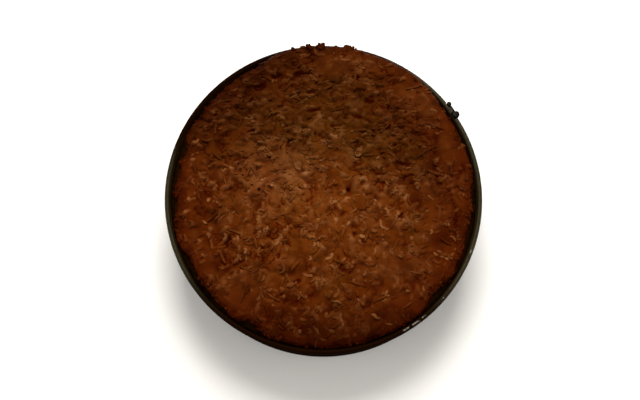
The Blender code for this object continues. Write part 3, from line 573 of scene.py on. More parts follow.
def prism(outline, low, high):
    """A flat outline raised to a solid between two heights."""
    shape = bmesh.new()
    corners = [shape.verts.new((point[0], point[1], low)) for point in outline]
    raised = bmesh.ops.extrude_face_region(shape, geom=[shape.faces.new(corners)])
    moved = [part for part in raised["geom"] if isinstance(part, bmesh.types.BMVert)]
    bmesh.ops.translate(shape, verts=moved, vec=(0.0, 0.0, high - low))
    return shape


def loft(rings, shape=None):
    """Rings of as many corners each, joined in order and closed at both ends."""
    shape = shape or bmesh.new()
    rows = [[shape.verts.new(corner) for corner in ring] for ring in rings]
    for row, following in zip(rows, rows[1:]):
        for corner in range(len(row)):
            beside = (corner + 1) % len(row)
            shape.faces.new((row[corner], row[beside], following[beside], following[corner]))
    shape.faces.new(rows[0][::-1])
    shape.faces.new(rows[-1])
    return shape


def rim_plate(inner, outer, start, end, low, high, steps=24):
    """A plate bent to the rim's curve, between two radii and two places along the rim."""
    places = [mix(start, end, step / steps) for step in range(steps + 1)]
    outline = [rim_point(inner, along) for along in places]
    outline += [rim_point(outer, along) for along in reversed(places)]
    return prism(outline, low, high)


def post(centre, radius, low, high, sides=40):
    """An upright cylinder."""
    shape = bmesh.new()
    place = Matrix.Translation((centre[0], centre[1], 0.5 * (low + high)))
    bmesh.ops.create_cone(
        shape, cap_ends=True, segments=sides, radius1=radius, radius2=radius,
        depth=high - low, matrix=place)
    return shape


def bar(start, end, half_width, low, high):
    """A straight flat bar between two points in plan."""
    side = (end - start).normalized().orthogonal() * half_width
    return prism([start - side, end - side, end + side, start + side], low, high)


def stadium(start, end, radius, low, high, steps=16):
    """A flat link plate with round ends."""
    heading = math.atan2(end.y - start.y, end.x - start.x)
    outline = []
    for centre, turn in ((start, 0.5 * math.pi), (end, -0.5 * math.pi)):
        for step in range(steps + 1):
            angle = heading + turn + math.pi * step / steps
            outline.append(centre + radius * Vector((math.cos(angle), math.sin(angle))))
    return prism(outline, low, high)


def rounded(profile, reach, closed=False, steps=3):
    """A profile with its corners rounded off."""
    points = [Vector(point) for point in profile]
    result = []
    for number, corner in enumerate(points):
        before, after = points[number - 1], points[(number + 1) % len(points)]
        if not closed and number in (0, len(points) - 1):
            result.append(corner)
            continue
        back, ahead = before - corner, after - corner
        if back.angle(ahead) > math.radians(155.0):
            result.append(corner)
            continue
        start = corner + back.normalized() * min(reach, 0.45 * back.length)
        end = corner + ahead.normalized() * min(reach, 0.45 * ahead.length)
        for step in range(steps + 1):
            share = step / steps
            result.append(start.lerp(corner, share).lerp(corner.lerp(end, share), share))
    return result


def turned(profile, steps):
    """A profile of radius and height, from the axis round to the axis, turned full circle."""
    shape = bmesh.new()
    chain = [shape.verts.new((radius, 0.0, height)) for radius, height in profile]
    edges = [shape.edges.new(pair) for pair in zip(chain, chain[1:])]
    bmesh.ops.spin(
        shape, geom=chain + edges, cent=(0.0, 0.0, 0.0), axis=(0.0, 0.0, 1.0),
        angle=2.0 * math.pi, steps=steps, use_merge=True)
    bmesh.ops.remove_doubles(shape, verts=shape.verts, dist=0.002 * MM)
    return shape


# Node trees

def add_node(tree, kind, values=None, **settings):
    """Add a node, set its settings, and give each socket its value or its link."""
    made = tree.nodes.new(kind)
    for name, value in settings.items():
        setattr(made, name, value)
    for name, value in (values or {}).items():
        socket = made.inputs[name]
        if isinstance(value, bpy.types.NodeSocket):
            tree.links.new(value, socket)
        else:
            socket.default_value = value
    return made


def math_value(tree, operation, first, second):
    """One sum of two values."""
    return add_node(tree, "ShaderNodeMath", {0: first, 1: second}, operation=operation).outputs[0]


class Finish:
    """A material with a Principled shader, and short ways to add to its nodes."""

    def __init__(self, name, **values):
        self.material = bpy.data.materials.new(name)
        self.material.use_nodes = True
        self.tree = self.material.node_tree
        self.shader = self.tree.nodes["Principled BSDF"]
        for socket, value in values.items():
            self.shader.inputs[socket.replace("_", " ")].default_value = value
        self.place = add_node(self.tree, "ShaderNodeTexCoord").outputs["Object"]

    def link(self, value, socket):
        """Give a value to one of the shader's sockets."""
        self.tree.links.new(value, self.shader.inputs[socket])

    def bump(self, height, strength, distance):
        """Give the surface fine relief."""
        made = add_node(self.tree, "ShaderNodeBump", {
            "Height": height, "Strength": strength, "Distance": distance})
        self.link(made.outputs["Normal"], "Normal")

    def attribute(self, name):
        """A value stored on the mesh."""
        return add_node(self.tree, "ShaderNodeAttribute", attribute_name=name).outputs["Fac"]

    def parts(self):
        """The X, Y and Z of the place on the piece."""
        return add_node(self.tree, "ShaderNodeSeparateXYZ", {"Vector": self.place}).outputs

    def plan(self):
        """The place on the piece, with its height left out."""
        made = add_node(
            self.tree, "ShaderNodeVectorMath", {0: self.place, 1: (1.0, 1.0, 0.0)},
            operation="MULTIPLY")
        return made.outputs["Vector"]

    def measure(self, operation, first, second=(0.0, 0.0, 0.0)):
        """A length, distance or dot product."""
        made = add_node(
            self.tree, "ShaderNodeVectorMath", {0: first, 1: second}, operation=operation)
        return made.outputs["Value"]

    def noise(self, scale, detail=3.0, roughness=0.5, place=None):
        """A noise texture's value."""
        return add_node(self.tree, "ShaderNodeTexNoise", {
            "Vector": place or self.place, "Scale": scale, "Detail": detail,
            "Roughness": roughness}).outputs["Fac"]

    def span(self, value, low, high, to_low=0.0, to_high=1.0):
        """Map a value's range to another, clamped."""
        return add_node(self.tree, "ShaderNodeMapRange", {
            "Value": value, "From Min": low, "From Max": high, "To Min": to_low,
            "To Max": to_high}, interpolation_type="SMOOTHSTEP").outputs["Result"]

    def combine(self, operation, first, *others):
        """Two or more values taken together, such as their product or the largest of them."""
        for other in others:
            first = math_value(self.tree, operation, first, other)
        return first

    def near(self, place, spots, inner_share):
        """How near a place is to any of the spots, which have a centre, a reach and a strength."""
        shares = []
        for centre, reach, strength in spots:
            away = self.measure("DISTANCE", place, centre)
            shares.append(self.span(away, inner_share * reach, reach, strength, 0.0))
        return self.combine("MAXIMUM", *shares)

    def blend(self, share, first, second, kind="MIX"):
        """Blend two colours, or with MULTIPLY shade the first by the second."""
        values = {"Factor": share}
        for name, color in ((6, first), (7, second)):
            values[name] = color if isinstance(color, bpy.types.NodeSocket) else (*color, 1.0)
        made = add_node(self.tree, "ShaderNodeMix", values, data_type="RGBA", blend_type=kind)
        return made.outputs[2]


def coating_material(settings):
    """Dark non-stick coating: a chocolate smear inside that is painted lighter as painted light,
    grease and painted shade at the front and back left, a rim rubbed thin with painted sheen on the
    right, and painted glints where it is scraped bright.
    """
    finish = Finish("tin coating", Specular_IOR_Level=0.08, Specular_Tint=(1.0, 0.86, 0.5, 1.0))
    across, back, up = finish.parts()
    patches = finish.span(finish.noise(38.0, 4.0, 0.6), 0.42, 0.66)
    # Painted sheen as well as wear: the top of the rim is painted lighter on the right and the left.
    rubbed_sheen_side = finish.combine(
        "MAXIMUM", finish.span(across, *RUBBED_SHEEN_RIGHT), finish.span(across, *RUBBED_SHEEN_LEFT, 0.8, 0.0))
    rubs = finish.span(finish.noise(260.0, 5.0, 0.65), 0.4, 0.62, 0.35, 1.0)
    worn_sheen = finish.combine("MULTIPLY", finish.span(up, *RIM_TOP), rubs, rubbed_sheen_side)
    specks = finish.span(finish.noise(1900.0, 2.0), 0.62, 0.72, 0.0, 0.35)
    # Painted shade as well as grease: the rim is painted darker at the front and the back left.
    toward_back_left = finish.measure("DOT_PRODUCT", finish.place, BACK_LEFT)
    greasy_shade = finish.combine(
        "MAXIMUM", finish.span(back, *GREASY_SHADE_FRONT, 1.0, 0.0),
        finish.span(toward_back_left, *GREASY_SHADE_BACK))
    # Painted light as well as smear: the inner face of the wall is painted lighter, fading out just
    # under the rim.
    smeared = finish.combine(
        "MULTIPLY", finish.span(finish.measure("LENGTH", finish.plan()), *INNER_FACE, 1.0, 0.0),
        finish.span(finish.noise(90.0), 0.3, 0.6, 0.6, 1.0), finish.span(up, *SMEAR_LIGHT_FADE, 1.0, 0.0))
    grains = finish.span(finish.noise(300.0, 3.0, 0.6), 0.44, 0.54)
    # Painted glints as well as scrapes: bright metal in thin spots along the rim's crest.
    scraped = finish.combine(
        "MULTIPLY", finish.near(finish.place, SCRAPED_GLINT_PLACES, 0.5), grains,
        finish.span(up, *RIM_CREST))
    color = finish.blend(patches, settings.coat_color, settings.coat_tint)
    for share, layer in (
            (worn_sheen, settings.worn_sheen_color), (specks, settings.coat_tint),
            (greasy_shade, settings.grease_shade_color), (smeared, settings.smear_light_color),
            (scraped, settings.bare_glint_color)):
        color = finish.blend(share, color, layer)
    finish.link(color, "Base Color")
    finish.link(scraped, "Metallic")
    clean = finish.combine("SUBTRACT", 1.0, greasy_shade)
    gloss = finish.combine("MULTIPLY", rubbed_sheen_side, clean)
    finish.link(finish.span(gloss, 0.0, 1.0, 0.004, 0.17), "Specular IOR Level")
    finish.link(finish.span(finish.noise(75.0, 5.0, 0.7), 0.3, 0.7, 0.34, 0.52), "Roughness")
    finish.bump(finish.noise(2400.0, 2.0), 0.12, 0.1 * MM)
    return finish.material


def steel_material(settings):
    """Darkened steel with fine scratches and oil stains."""
    finish = Finish("clasp steel", Metallic=0.9, Specular_Tint=(0.12, 0.11, 0.09, 1.0))
    stained = finish.span(finish.noise(320.0, 5.0, 0.6), 0.4, 0.65)
    dark = [0.45 * channel for channel in settings.steel_color]
    finish.link(finish.blend(stained, settings.steel_color, dark), "Base Color")
    stretched = add_node(
        finish.tree, "ShaderNodeMapping", {"Vector": finish.place, "Scale": (1.0, 1.0, 14.0)})
    scratches = finish.noise(700.0, place=stretched.outputs["Vector"])
    finish.link(finish.span(scratches, 0.3, 0.7, 0.28, 0.5), "Roughness")
    finish.bump(scratches, 0.15, 0.1 * MM)
    return finish.material


def crumb_material(settings):
    """Baked chocolate crumb with open pores, which are painted darker as painted shade."""
    finish = Finish("cake crumb", Specular_IOR_Level=0.15, Roughness=0.9)
    pores = add_node(
        finish.tree, "ShaderNodeTexVoronoi", {"Vector": finish.place, "Scale": 420.0})
    pores = pores.outputs["Distance"]
    fine = finish.noise(900.0, 4.0, 0.6)
    dark = [0.35 * channel for channel in settings.crumb_color]
    crust = [1.5 * channel for channel in settings.crumb_color]
    color = finish.blend(finish.span(fine, 0.35, 0.65), settings.crumb_color, crust)
    # Painted shade: the pores are painted darker.
    color = finish.blend(finish.span(pores, 0.05, 0.4, 1.0, 0.0), color, dark)
    finish.link(color, "Base Color")
    finish.bump(finish.combine("ADD", pores, fine), 0.6, 0.5 * MM)
    return finish.material


def chocolate_material(settings):
    """Chocolate topping: brown and redder to the edge, with pale shred tips that are partly thin coat
    and partly painted highlight, and painted shade in its hollows, to its edge, back and front, and
    on the shelf by the wall.
    """
    finish = Finish("chocolate topping", IOR=1.12, Specular_Tint=(1.0, 0.35, 0.035, 1.0))
    raised, tone, ledge = [finish.attribute(name) for name in ("raised", "tone", "ledge")]
    plan = finish.plan()
    out = finish.measure("LENGTH", plan)
    back = finish.parts()["Y"]
    edge = finish.span(out, *EDGE_SHADE_REACH)
    drifts = finish.combine(
        "ADD", finish.noise(24.0, 3.0, 0.55), finish.span(back, *OLIVE_BACK, -0.12, 0.12))
    olive = finish.span(drifts, 0.4, 0.62)
    # Painted shade: where the stand-out is low, in hollows, clefts, air holes and moats, the colour
    # is darker.
    hollow_shade = finish.span(raised, 0.0, 0.45, 1.0, 0.0)
    # The topping is painted paler at the listed places.
    thin = finish.combine(
        "MULTIPLY", finish.near(plan, PALER_PLACES, 0.15), finish.span(raised, 0.2, 0.6, 0.3, 1.0))
    grains = finish.span(finish.noise(150.0, 2.0, 0.4), 0.3, 0.7, 0.6, 1.0)
    clusters = finish.span(finish.noise(70.0, 2.0), 0.36, 0.6, 0.25, 1.0)
    # Painted highlight as well as thin coat: tips that stand out high are painted paler.
    pale = finish.combine("MULTIPLY", grains, finish.span(raised, 0.55, 0.9), tone, clusters)
    pale_highlight_color = finish.blend(edge, settings.pale_highlight_color, settings.pale_shade, "MULTIPLY")
    thick = finish.span(finish.noise(85.0, 2.0), 0.34, 0.6, 1.0, 0.0)
    aslant = finish.measure("DOT_PRODUCT", plan, BACK_SHADE_WAY)
    behind = finish.combine(
        "MULTIPLY", finish.span(aslant, *BACK_SHADE), finish.span(out, *BACK_SHADE_OUT, 1.0, 0.3))
    toward_back_left = finish.measure("DOT_PRODUCT", plan, BACK_LEFT)
    shaded = finish.combine(
        "MAXIMUM", finish.span(back, *FRONT_SHADE, 1.0, 0.0),
        finish.span(toward_back_left, *BACK_LEFT_SHADE))
    color = finish.blend(olive, settings.body_color, settings.olive_color)
    # Layers in turn: painted shade in hollows, paler places, painted shade and redness to the edge,
    # pale tips that are partly painted highlight, thick coat, painted shade to the back and along the
    # front and back left edges, and painted shade on the shelf by the wall.
    for share, layer, kind in (
            (hollow_shade, settings.hollow_shade_color, "MIX"),
            (thin, settings.paler_color, "MIX"),
            (edge, settings.edge_shade, "MULTIPLY"),
            (pale, pale_highlight_color, "MIX"),
            (thick, settings.thick_shade, "MULTIPLY"),
            (behind, settings.back_shade, "MULTIPLY"),
            (shaded, settings.front_shade, "MULTIPLY"),
            (ledge, settings.ledge_shade_color, "MIX")):
        color = finish.blend(share, color, layer, kind)
    finish.link(color, "Base Color")
    finish.link(finish.span(ledge, 0.0, 1.0, 0.5, 0.08), "Specular IOR Level")
    finish.link(finish.span(finish.noise(130.0, 4.0, 0.6), 0.3, 0.7, 0.38, 0.62), "Roughness")
    relief = finish.combine("ADD", finish.noise(480.0), finish.noise(1500.0, 1.0))
    finish.bump(relief, 0.1, 0.5 * MM)
    return finish.material


# Tin

def band_profile():
    """The band's closed section: inner face, rolled rim, outer face, groove and foot."""
    inner = TIN_INNER_RADIUS
    outer = inner + WALL
    roll_centre = (inner + ROLL_RADIUS, TIN_HEIGHT - 0.05 * MM - ROLL_RADIUS)
    groove_out = inner + GROOVE_DEPTH
    points = [(inner, BAND_FOOT), (inner, GROOVE_LOW)]
    points += [(groove_out, GROOVE_LOW + GROOVE_SLOPE), (groove_out, GROOVE_HIGH - GROOVE_SLOPE)]
    points += [(inner, GROOVE_HIGH), (inner, TIN_HEIGHT * 0.5)]
    for step in range(ROLL_STEPS + 1):
        angle = math.pi - math.radians(300.0) * step / ROLL_STEPS
        radius = roll_centre[0] + ROLL_RADIUS * math.cos(angle)
        points.append((radius, roll_centre[1] + ROLL_RADIUS * math.sin(angle)))
    points += [(outer, TIN_HEIGHT - 2.0 * ROLL_RADIUS - WALL), (outer, GROOVE_HIGH + 0.5 * WALL)]
    points += [(groove_out + WALL, GROOVE_HIGH - GROOVE_SLOPE + 0.5 * WALL)]
    points += [(groove_out + WALL, GROOVE_LOW + GROOVE_SLOPE - 0.5 * WALL)]
    points += [(outer, GROOVE_LOW - 0.5 * WALL), (outer, BAND_FOOT)]
    return rounded(points, 0.3 * MM, closed=True)


def swept_band():
    """The band's section swept almost full circle, open at the clasp."""
    start = CLASP_AZIMUTH + BAND_START_ALONG / PIVOT_RADIUS
    sweep = 2.0 * math.pi - BAND_SPLIT / PIVOT_RADIUS
    shape = bmesh.new()
    section = [
        shape.verts.new((radius * math.cos(start), radius * math.sin(start), height))
        for radius, height in band_profile()]
    end_face = shape.faces.new(section)
    spun = bmesh.ops.spin(
        shape, geom=section + list(end_face.edges), cent=(0.0, 0.0, 0.0),
        axis=(0.0, 0.0, 1.0), angle=sweep, steps=ROUND_STEPS)
    last = [part for part in spun["geom_last"] if isinstance(part, bmesh.types.BMEdge)]
    bmesh.ops.contextual_create(shape, geom=last)
    return shape


def radial_hole(along, height):
    """A cutter for one rivet's hole through the band and the leaf on it."""
    shape = bmesh.new()
    turn = Matrix.Rotation(CLASP_AZIMUTH + along / PIVOT_RADIUS, 4, "Z")
    place = Matrix.Translation((TIN_INNER_RADIUS, 0.0, height))
    lay_down = Matrix.Rotation(0.5 * math.pi, 4, "Y")
    hole_radius = RIVET_RADIUS + 0.5 * GAP
    bmesh.ops.create_cone(
        shape, cap_ends=True, segments=24, radius1=hole_radius, radius2=hole_radius,
        depth=8.0 * MM, matrix=turn @ place @ lay_down)
    return shape


def rivet_holes(side):
    """The two rivet cutters on one side of the clasp."""
    return [from_shape("hole", radial_hole(RIVET_ALONG[side], height)) for height in RIVET_HEIGHTS]


def make_band():
    """The springform band, with its overlapping tongue and the notches for the clasp's knobs."""
    band = from_shape("springform_band", swept_band())
    tongue_outer = TIN_INNER_RADIUS - TONGUE_GAP
    tongue_inner = tongue_outer - WALL
    tongue = rim_plate(
        tongue_inner, tongue_outer, TONGUE_FROM, TONGUE_TO, TONGUE_LOW, TONGUE_HIGH)
    root = rim_plate(
        tongue_inner + OVERLAP, TIN_INNER_RADIUS + OVERLAP, TONGUE_FROM + OVERLAP,
        TONGUE_JOINT_TO, TONGUE_LOW + OVERLAP, TONGUE_HIGH - OVERLAP, 9)
    combine(band, [from_shape("tongue", tongue), from_shape("tongue_root", root)], "UNION")
    notch_outer = TIN_INNER_RADIUS + 2.0 * ROLL_RADIUS + MM
    knobs = (
        (LEVER_EYE_RADIUS, LEVER_EYE_ALONG, LARGE_KNOB_RADIUS),
        (PIVOT_RADIUS, CATCH_ALONG, SMALL_KNOB_RADIUS))
    notches = []
    for radius, along, half in knobs:
        start, end = along - half - NOTCH_NEAR, along + half + NOTCH_FAR
        notch_inner = radius - half - NOTCH_BEHIND
        cutter = rim_plate(notch_inner, notch_outer, start, end, NOTCH_LOW, TIN_HEIGHT + MM, 7)
        notches.append(from_shape("notch", cutter))
    combine(band, notches + rivet_holes(0) + rivet_holes(1), "DIFFERENCE")
    band.data.shade_smooth()
    band.data.set_sharp_from_angle(angle=math.radians(38.0))
    return band


def make_base():
    """The loose base: a flat disc, a step up and the flange that the groove holds."""
    flange_low = BASE_FLANGE_TOP - BASE_FLANGE_SHEET
    step_out = BASE_STEP_RADIUS + 1.5 * MM
    profile = [
        (0.0, BASE_SHEET), (BASE_STEP_RADIUS, BASE_SHEET), (step_out, BASE_FLANGE_TOP),
        (BASE_FLANGE_RADIUS, BASE_FLANGE_TOP), (BASE_FLANGE_RADIUS, flange_low),
        (step_out + BASE_SHEET, flange_low), (BASE_STEP_RADIUS + BASE_SHEET, 0.0), (0.0, 0.0)]
    return from_shape("springform_base", turned(rounded(profile, 0.5 * MM), ROUND_STEPS))


# Clasp

def make_bracket():
    """The riveted leaf that carries the lever's pin in two knuckles."""
    leaf_inner = TIN_INNER_RADIUS + WALL + GAP
    leaf_outer = leaf_inner + LEAF_SHEET
    leaf = rim_plate(leaf_inner, leaf_outer, -LEAF_LENGTH, LEAF_SHEET, CLASP_LOW, CLASP_HIGH)
    bracket = from_shape("pin_bracket", leaf)
    pivot = rim_point(PIVOT_RADIUS, 0.0)
    foot = rim_point(leaf_inner + OVERLAP, 0.0)
    pieces = []
    for low in (CLASP_LOW, CLASP_HIGH - KNUCKLE_HEIGHT):
        high = low + KNUCKLE_HEIGHT
        pieces.append(from_shape("knuckle", post(pivot, KNUCKLE_RADIUS, low, high)))
        web = bar(foot, pivot, WEB_HALF_WIDTH, low + OVERLAP, high - OVERLAP)
        pieces.append(from_shape("web", web))
    combine(bracket, pieces, "UNION")
    bore = from_shape("bore", post(pivot, BORE_RADIUS, CLASP_LOW - MM, CLASP_HIGH + MM))
    combine(bracket, [bore] + rivet_holes(0), "DIFFERENCE")
    soften(bracket)
    return bracket


def make_catch():
    """The riveted leaf with the standing flange that the link's pin pulls on."""
    leaf_inner = TIN_INNER_RADIUS + WALL + GAP
    leaf_outer = leaf_inner + LEAF_SHEET
    near = CATCH_ALONG - PIN_RADIUS - GAP - LEVER_SHEET
    leaf = rim_plate(leaf_inner, leaf_outer, near, near + LEAF_LENGTH, CLASP_LOW, CLASP_HIGH)
    catch = from_shape("catch_plate", leaf)
    reach = PIVOT_RADIUS + PIN_RADIUS + 2.0 * GAP
    flange = rim_plate(
        leaf_inner + OVERLAP, reach, near, near + LEVER_SHEET,
        CLASP_LOW + OVERLAP, CLASP_HIGH - OVERLAP, 1)
    combine(catch, [from_shape("flange", flange)], "UNION")
    combine(catch, rivet_holes(1), "DIFFERENCE")
    soften(catch)
    return catch


def make_pin():
    """The lever's pin, peened over at both ends."""
    centre = rim_point(PIVOT_RADIUS, 0.0)
    low, high, head = CLASP_LOW - GAP, CLASP_HIGH + GAP, PIN_HEAD_HEIGHT
    profile = [(0.0, high + head), (0.7 * PIN_HEAD_RADIUS, high + head), (PIN_HEAD_RADIUS, high)]
    profile += [(PIN_RADIUS, high), (PIN_RADIUS, low), (PIN_HEAD_RADIUS, low)]
    profile += [(0.7 * PIN_HEAD_RADIUS, low - head), (0.0, low - head)]
    shape = turned(rounded(profile, 0.35 * MM), 40)
    bmesh.ops.translate(shape, verts=shape.verts, vec=(centre.x, centre.y, 0.0))
    return from_shape("lever_pin", shape)


def lever_plate():
    """The lever's handle: a tapering plate that hugs the wall and flares at its end."""
    half_sheet = 0.5 * LEVER_SHEET
    rings = []
    for step in range(LEVER_STEPS + 1):
        share = step / LEVER_STEPS
        along = LEVER_EYE_ALONG - LEVER_LENGTH * share
        radius = LEVER_EYE_RADIUS + LEVER_FLARE * smoothstep(LEVER_FLARE_FROM, 1.0, share) ** 2
        rounding = LEVER_TIP_ROUNDING * smoothstep(LEVER_TIP_FROM, 1.0, share)
        half_height = LEVER_HALF_HEIGHT * (1.0 - LEVER_TAPER * share - rounding)
        inner = rim_point(radius - half_sheet, along)
        outer = rim_point(radius + half_sheet, along)
        low, high = CLASP_MIDDLE - half_height, CLASP_MIDDLE + half_height
        rings.append([(*inner, low), (*outer, low), (*outer, high), (*inner, high)])
    return loft(rings)


def make_lever():
    """The clasp's lever, with its hinge tube and the eye that pulls the link."""
    pivot = rim_point(PIVOT_RADIUS, 0.0)
    eye = rim_point(LEVER_EYE_RADIUS, LEVER_EYE_ALONG)
    tube_low = CLASP_LOW + KNUCKLE_HEIGHT + GAP
    tube_high = CLASP_HIGH - KNUCKLE_HEIGHT - GAP
    lever = from_shape("toggle_lever", lever_plate())
    rib = rim_plate(
        LEVER_EYE_RADIUS, LEVER_EYE_RADIUS + LEVER_SHEET, RIB_FROM, RIB_TO,
        CLASP_MIDDLE - RIB_HALF_HEIGHT, CLASP_MIDDLE + RIB_HALF_HEIGHT)
    web = bar(eye, pivot, WEB_HALF_WIDTH, tube_low + OVERLAP, tube_high - OVERLAP)
    combine(lever, [
        from_shape("rib", rib),
        from_shape("tube", post(pivot, KNUCKLE_RADIUS, tube_low, tube_high)),
        from_shape("eye", post(eye, EYE_RADIUS, CLASP_LOW, CLASP_HIGH)),
        from_shape("web", web)], "UNION")
    combine(lever, [
        from_shape("bore", post(centre, BORE_RADIUS, CLASP_LOW - MM, CLASP_HIGH + MM))
        for centre in (pivot, eye)], "DIFFERENCE")
    soften(lever, 0.2 * MM)
    return lever


def knobbed_pin(centre, knob_radius):
    """A link pin: a small peened foot, a long shank and the round knob at the rim."""
    foot_low = LINK_BOTTOM - RIVET_HEAD_HEIGHT
    profile = [(0.0, KNOB_TOP), (knob_radius - KNOB_ROUNDING, KNOB_TOP)]
    profile += [(knob_radius, KNOB_TOP - KNOB_ROUNDING), (knob_radius, KNOB_LOW)]
    profile += [(PIN_RADIUS, KNOB_LOW), (PIN_RADIUS, LINK_BOTTOM + 0.5 * LINK_PLATE)]
    profile += [(PIN_HEAD_RADIUS, LINK_BOTTOM + 0.4 * LINK_PLATE), (PIN_HEAD_RADIUS, foot_low)]
    profile += [(0.0, foot_low)]
    shape = turned(rounded(profile, 0.5 * MM), 40)
    bmesh.ops.translate(shape, verts=shape.verts, vec=(centre.x, centre.y, 0.0))
    return shape


def make_link():
    """The link: two flat plates that join the lever's eye pin to the catch pin."""
    eye = rim_point(LEVER_EYE_RADIUS, LEVER_EYE_ALONG)
    catch = rim_point(PIVOT_RADIUS, CATCH_ALONG)
    top = stadium(eye, catch, TOP_PLATE_HALF_WIDTH, LINK_TOP, LINK_TOP + LINK_PLATE)
    bottom = stadium(eye, catch, BOTTOM_PLATE_HALF_WIDTH, LINK_BOTTOM, LINK_BOTTOM + LINK_PLATE)
    link = from_shape("knobbed_link", top)
    combine(link, [
        from_shape("bottom_plate", bottom),
        from_shape("eye_pin", knobbed_pin(eye, LARGE_KNOB_RADIUS)),
        from_shape("catch_pin", knobbed_pin(catch, SMALL_KNOB_RADIUS))], "UNION")
    soften(link, 0.12 * MM)
    return link


def rivet_shape():
    """One rivet along +X, at its true distance from the tin's axis."""
    outer_seat = TIN_INNER_RADIUS + WALL + GAP + LEAF_SHEET + GAP
    inner_seat = TIN_INNER_RADIUS - GAP
    inner_top = inner_seat - RIVET_INNER_HEIGHT
    head = RIVET_HEAD_RADIUS
    profile = [(0.0, inner_top), (0.9 * head, inner_top), (0.9 * head, inner_seat)]
    profile += [(RIVET_RADIUS, inner_seat), (RIVET_RADIUS, outer_seat), (head, outer_seat)]
    profile += [(0.75 * head, outer_seat + 0.6 * RIVET_HEAD_HEIGHT)]
    profile += [(0.0, outer_seat + RIVET_HEAD_HEIGHT)]
    shape = turned(rounded(profile, 0.4 * MM), 24)
    turn = Matrix.Rotation(0.5 * math.pi, 3, "Y")
    bmesh.ops.rotate(shape, verts=shape.verts, cent=(0.0, 0.0, 0.0), matrix=turn)
    return from_shape("rivet_shape", shape)


def new_tree(name, inputs):
    """A Geometry Nodes tree with named inputs; returns the tree and its input and output nodes."""
    tree = bpy.data.node_groups.new(name, "GeometryNodeTree")
    for socket_name, kind, value in inputs:
        socket = tree.interface.new_socket(name=socket_name, in_out="INPUT", socket_type=kind)
        if value is not None:
            socket.default_value = value
    tree.interface.new_socket(name="Geometry", in_out="OUTPUT", socket_type="NodeSocketGeometry")
    return tree, add_node(tree, "NodeGroupInput"), add_node(tree, "NodeGroupOutput")


def end_tree(tree, instances, material, group_out):
    """Make the instances real, give them their material and hand them out."""
    real = add_node(tree, "GeometryNodeRealizeInstances", {"Geometry": instances})
    dressed = add_node(
        tree, "GeometryNodeSetMaterial", {"Geometry": real.outputs[0], "Material": material})
    tree.links.new(dressed.outputs[0], group_out.inputs["Geometry"])


def run_tree(host, tree, values):
    """Run a tree on an object with the given inputs, and return the plain mesh it makes."""
    modifier = host.modifiers.new(tree.name, "NODES")
    modifier.node_group = tree
    for socket in tree.interface.items_tree:
        if socket.in_out == "INPUT" and socket.name in values:
            modifier[socket.identifier] = values[socket.name]
    mesh = evaluated_mesh(host)
    host.modifiers.remove(modifier)
    return mesh


def rivet_tree():
    """Turns one rivet round the tin's axis to each place along the rim."""
    tree, start, end = new_tree("rivets round the rim", (
        ("Places", "NodeSocketGeometry", None),
        ("Rivet", "NodeSocketObject", None),
        ("Material", "NodeSocketMaterial", None)))
    rivet = add_node(tree, "GeometryNodeObjectInfo", {"Object": start.outputs["Rivet"]})
    turn = add_node(tree, "GeometryNodeInputNamedAttribute", {"Name": "turn"}, data_type="FLOAT")
    euler = add_node(tree, "ShaderNodeCombineXYZ", {"Z": turn.outputs["Attribute"]})
    rotation = add_node(tree, "FunctionNodeEulerToRotation", {"Euler": euler.outputs[0]})
    placed = add_node(tree, "GeometryNodeInstanceOnPoints", {
        "Points": start.outputs["Places"], "Instance": rivet.outputs["Geometry"],
        "Rotation": rotation.outputs[0]})
    end_tree(tree, placed.outputs[0], start.outputs["Material"], end)
    return tree


def make_rivets(material):
    """Four rivets that hold the clasp's leaves to the band."""
    places = bpy.data.meshes.new("rivet_places")
    spots = [(along, height) for along in RIVET_ALONG for height in RIVET_HEIGHTS]
    places.from_pydata([(0.0, 0.0, height) for _, height in spots], [], [])
    turns = places.attributes.new("turn", "FLOAT", "POINT")
    for number, (along, _) in enumerate(spots):
        turns.data[number].value = CLASP_AZIMUTH + along / PIVOT_RADIUS
    host = add_object("rivet_host", places)
    rivet = rivet_shape()
    mesh = run_tree(host, rivet_tree(), {"Rivet": rivet, "Material": material})
    for item in (host, rivet):
        bpy.data.objects.remove(item, do_unlink=True)
    return add_object("clasp_rivets", mesh)


# Cake

def cake_top(radius):
    """Height of the cake's domed top."""
    share = min(radius / CAKE_RADIUS, 1.0)
    return mix(CAKE_CENTRE_HEIGHT, CAKE_EDGE_HEIGHT, share ** 2.2)


def cake_section(azimuth):
    """The cake's section: domed top, uneven crumbly side and a bottom that fills the base."""
    around = Vector((math.cos(azimuth), math.sin(azimuth), 0.2)) * CAKE_WOBBLE_SCALE
    side = CAKE_RADIUS + CAKE_WOBBLE * noise.noise(around)
    belly = side - MM + CAKE_WOBBLE * noise.noise(2.0 * around)
    foot, sunk = BASE_FLANGE_TOP + GAP, BASE_SHEET + GAP
    points = [(0.0, cake_top(0.0))]
    rings = [step / 14.0 * (CAKE_RADIUS - CAKE_SHOULDER) for step in range(1, 15)]
    points += [(radius, cake_top(radius)) for radius in rings]
    points.append((side - 1.0 * MM, CAKE_EDGE_HEIGHT - 1.4 * MM))
    points.append((side - 0.2 * MM, CAKE_EDGE_HEIGHT - CAKE_SHOULDER))
    middle, rise = 0.5 * CAKE_EDGE_HEIGHT, CAKE_EDGE_HEIGHT - CAKE_SHOULDER
    for step in range(1, 26):
        height = mix(rise, foot, step / 25.0)
        share = 1.0 - abs(height - middle) / middle
        points.append((mix(side, belly, share), height))
    points.append((BASE_STEP_RADIUS + MM, foot))
    points += [(BASE_STEP_RADIUS - 2.0 * GAP, sunk), (0.0, sunk)]
    return points


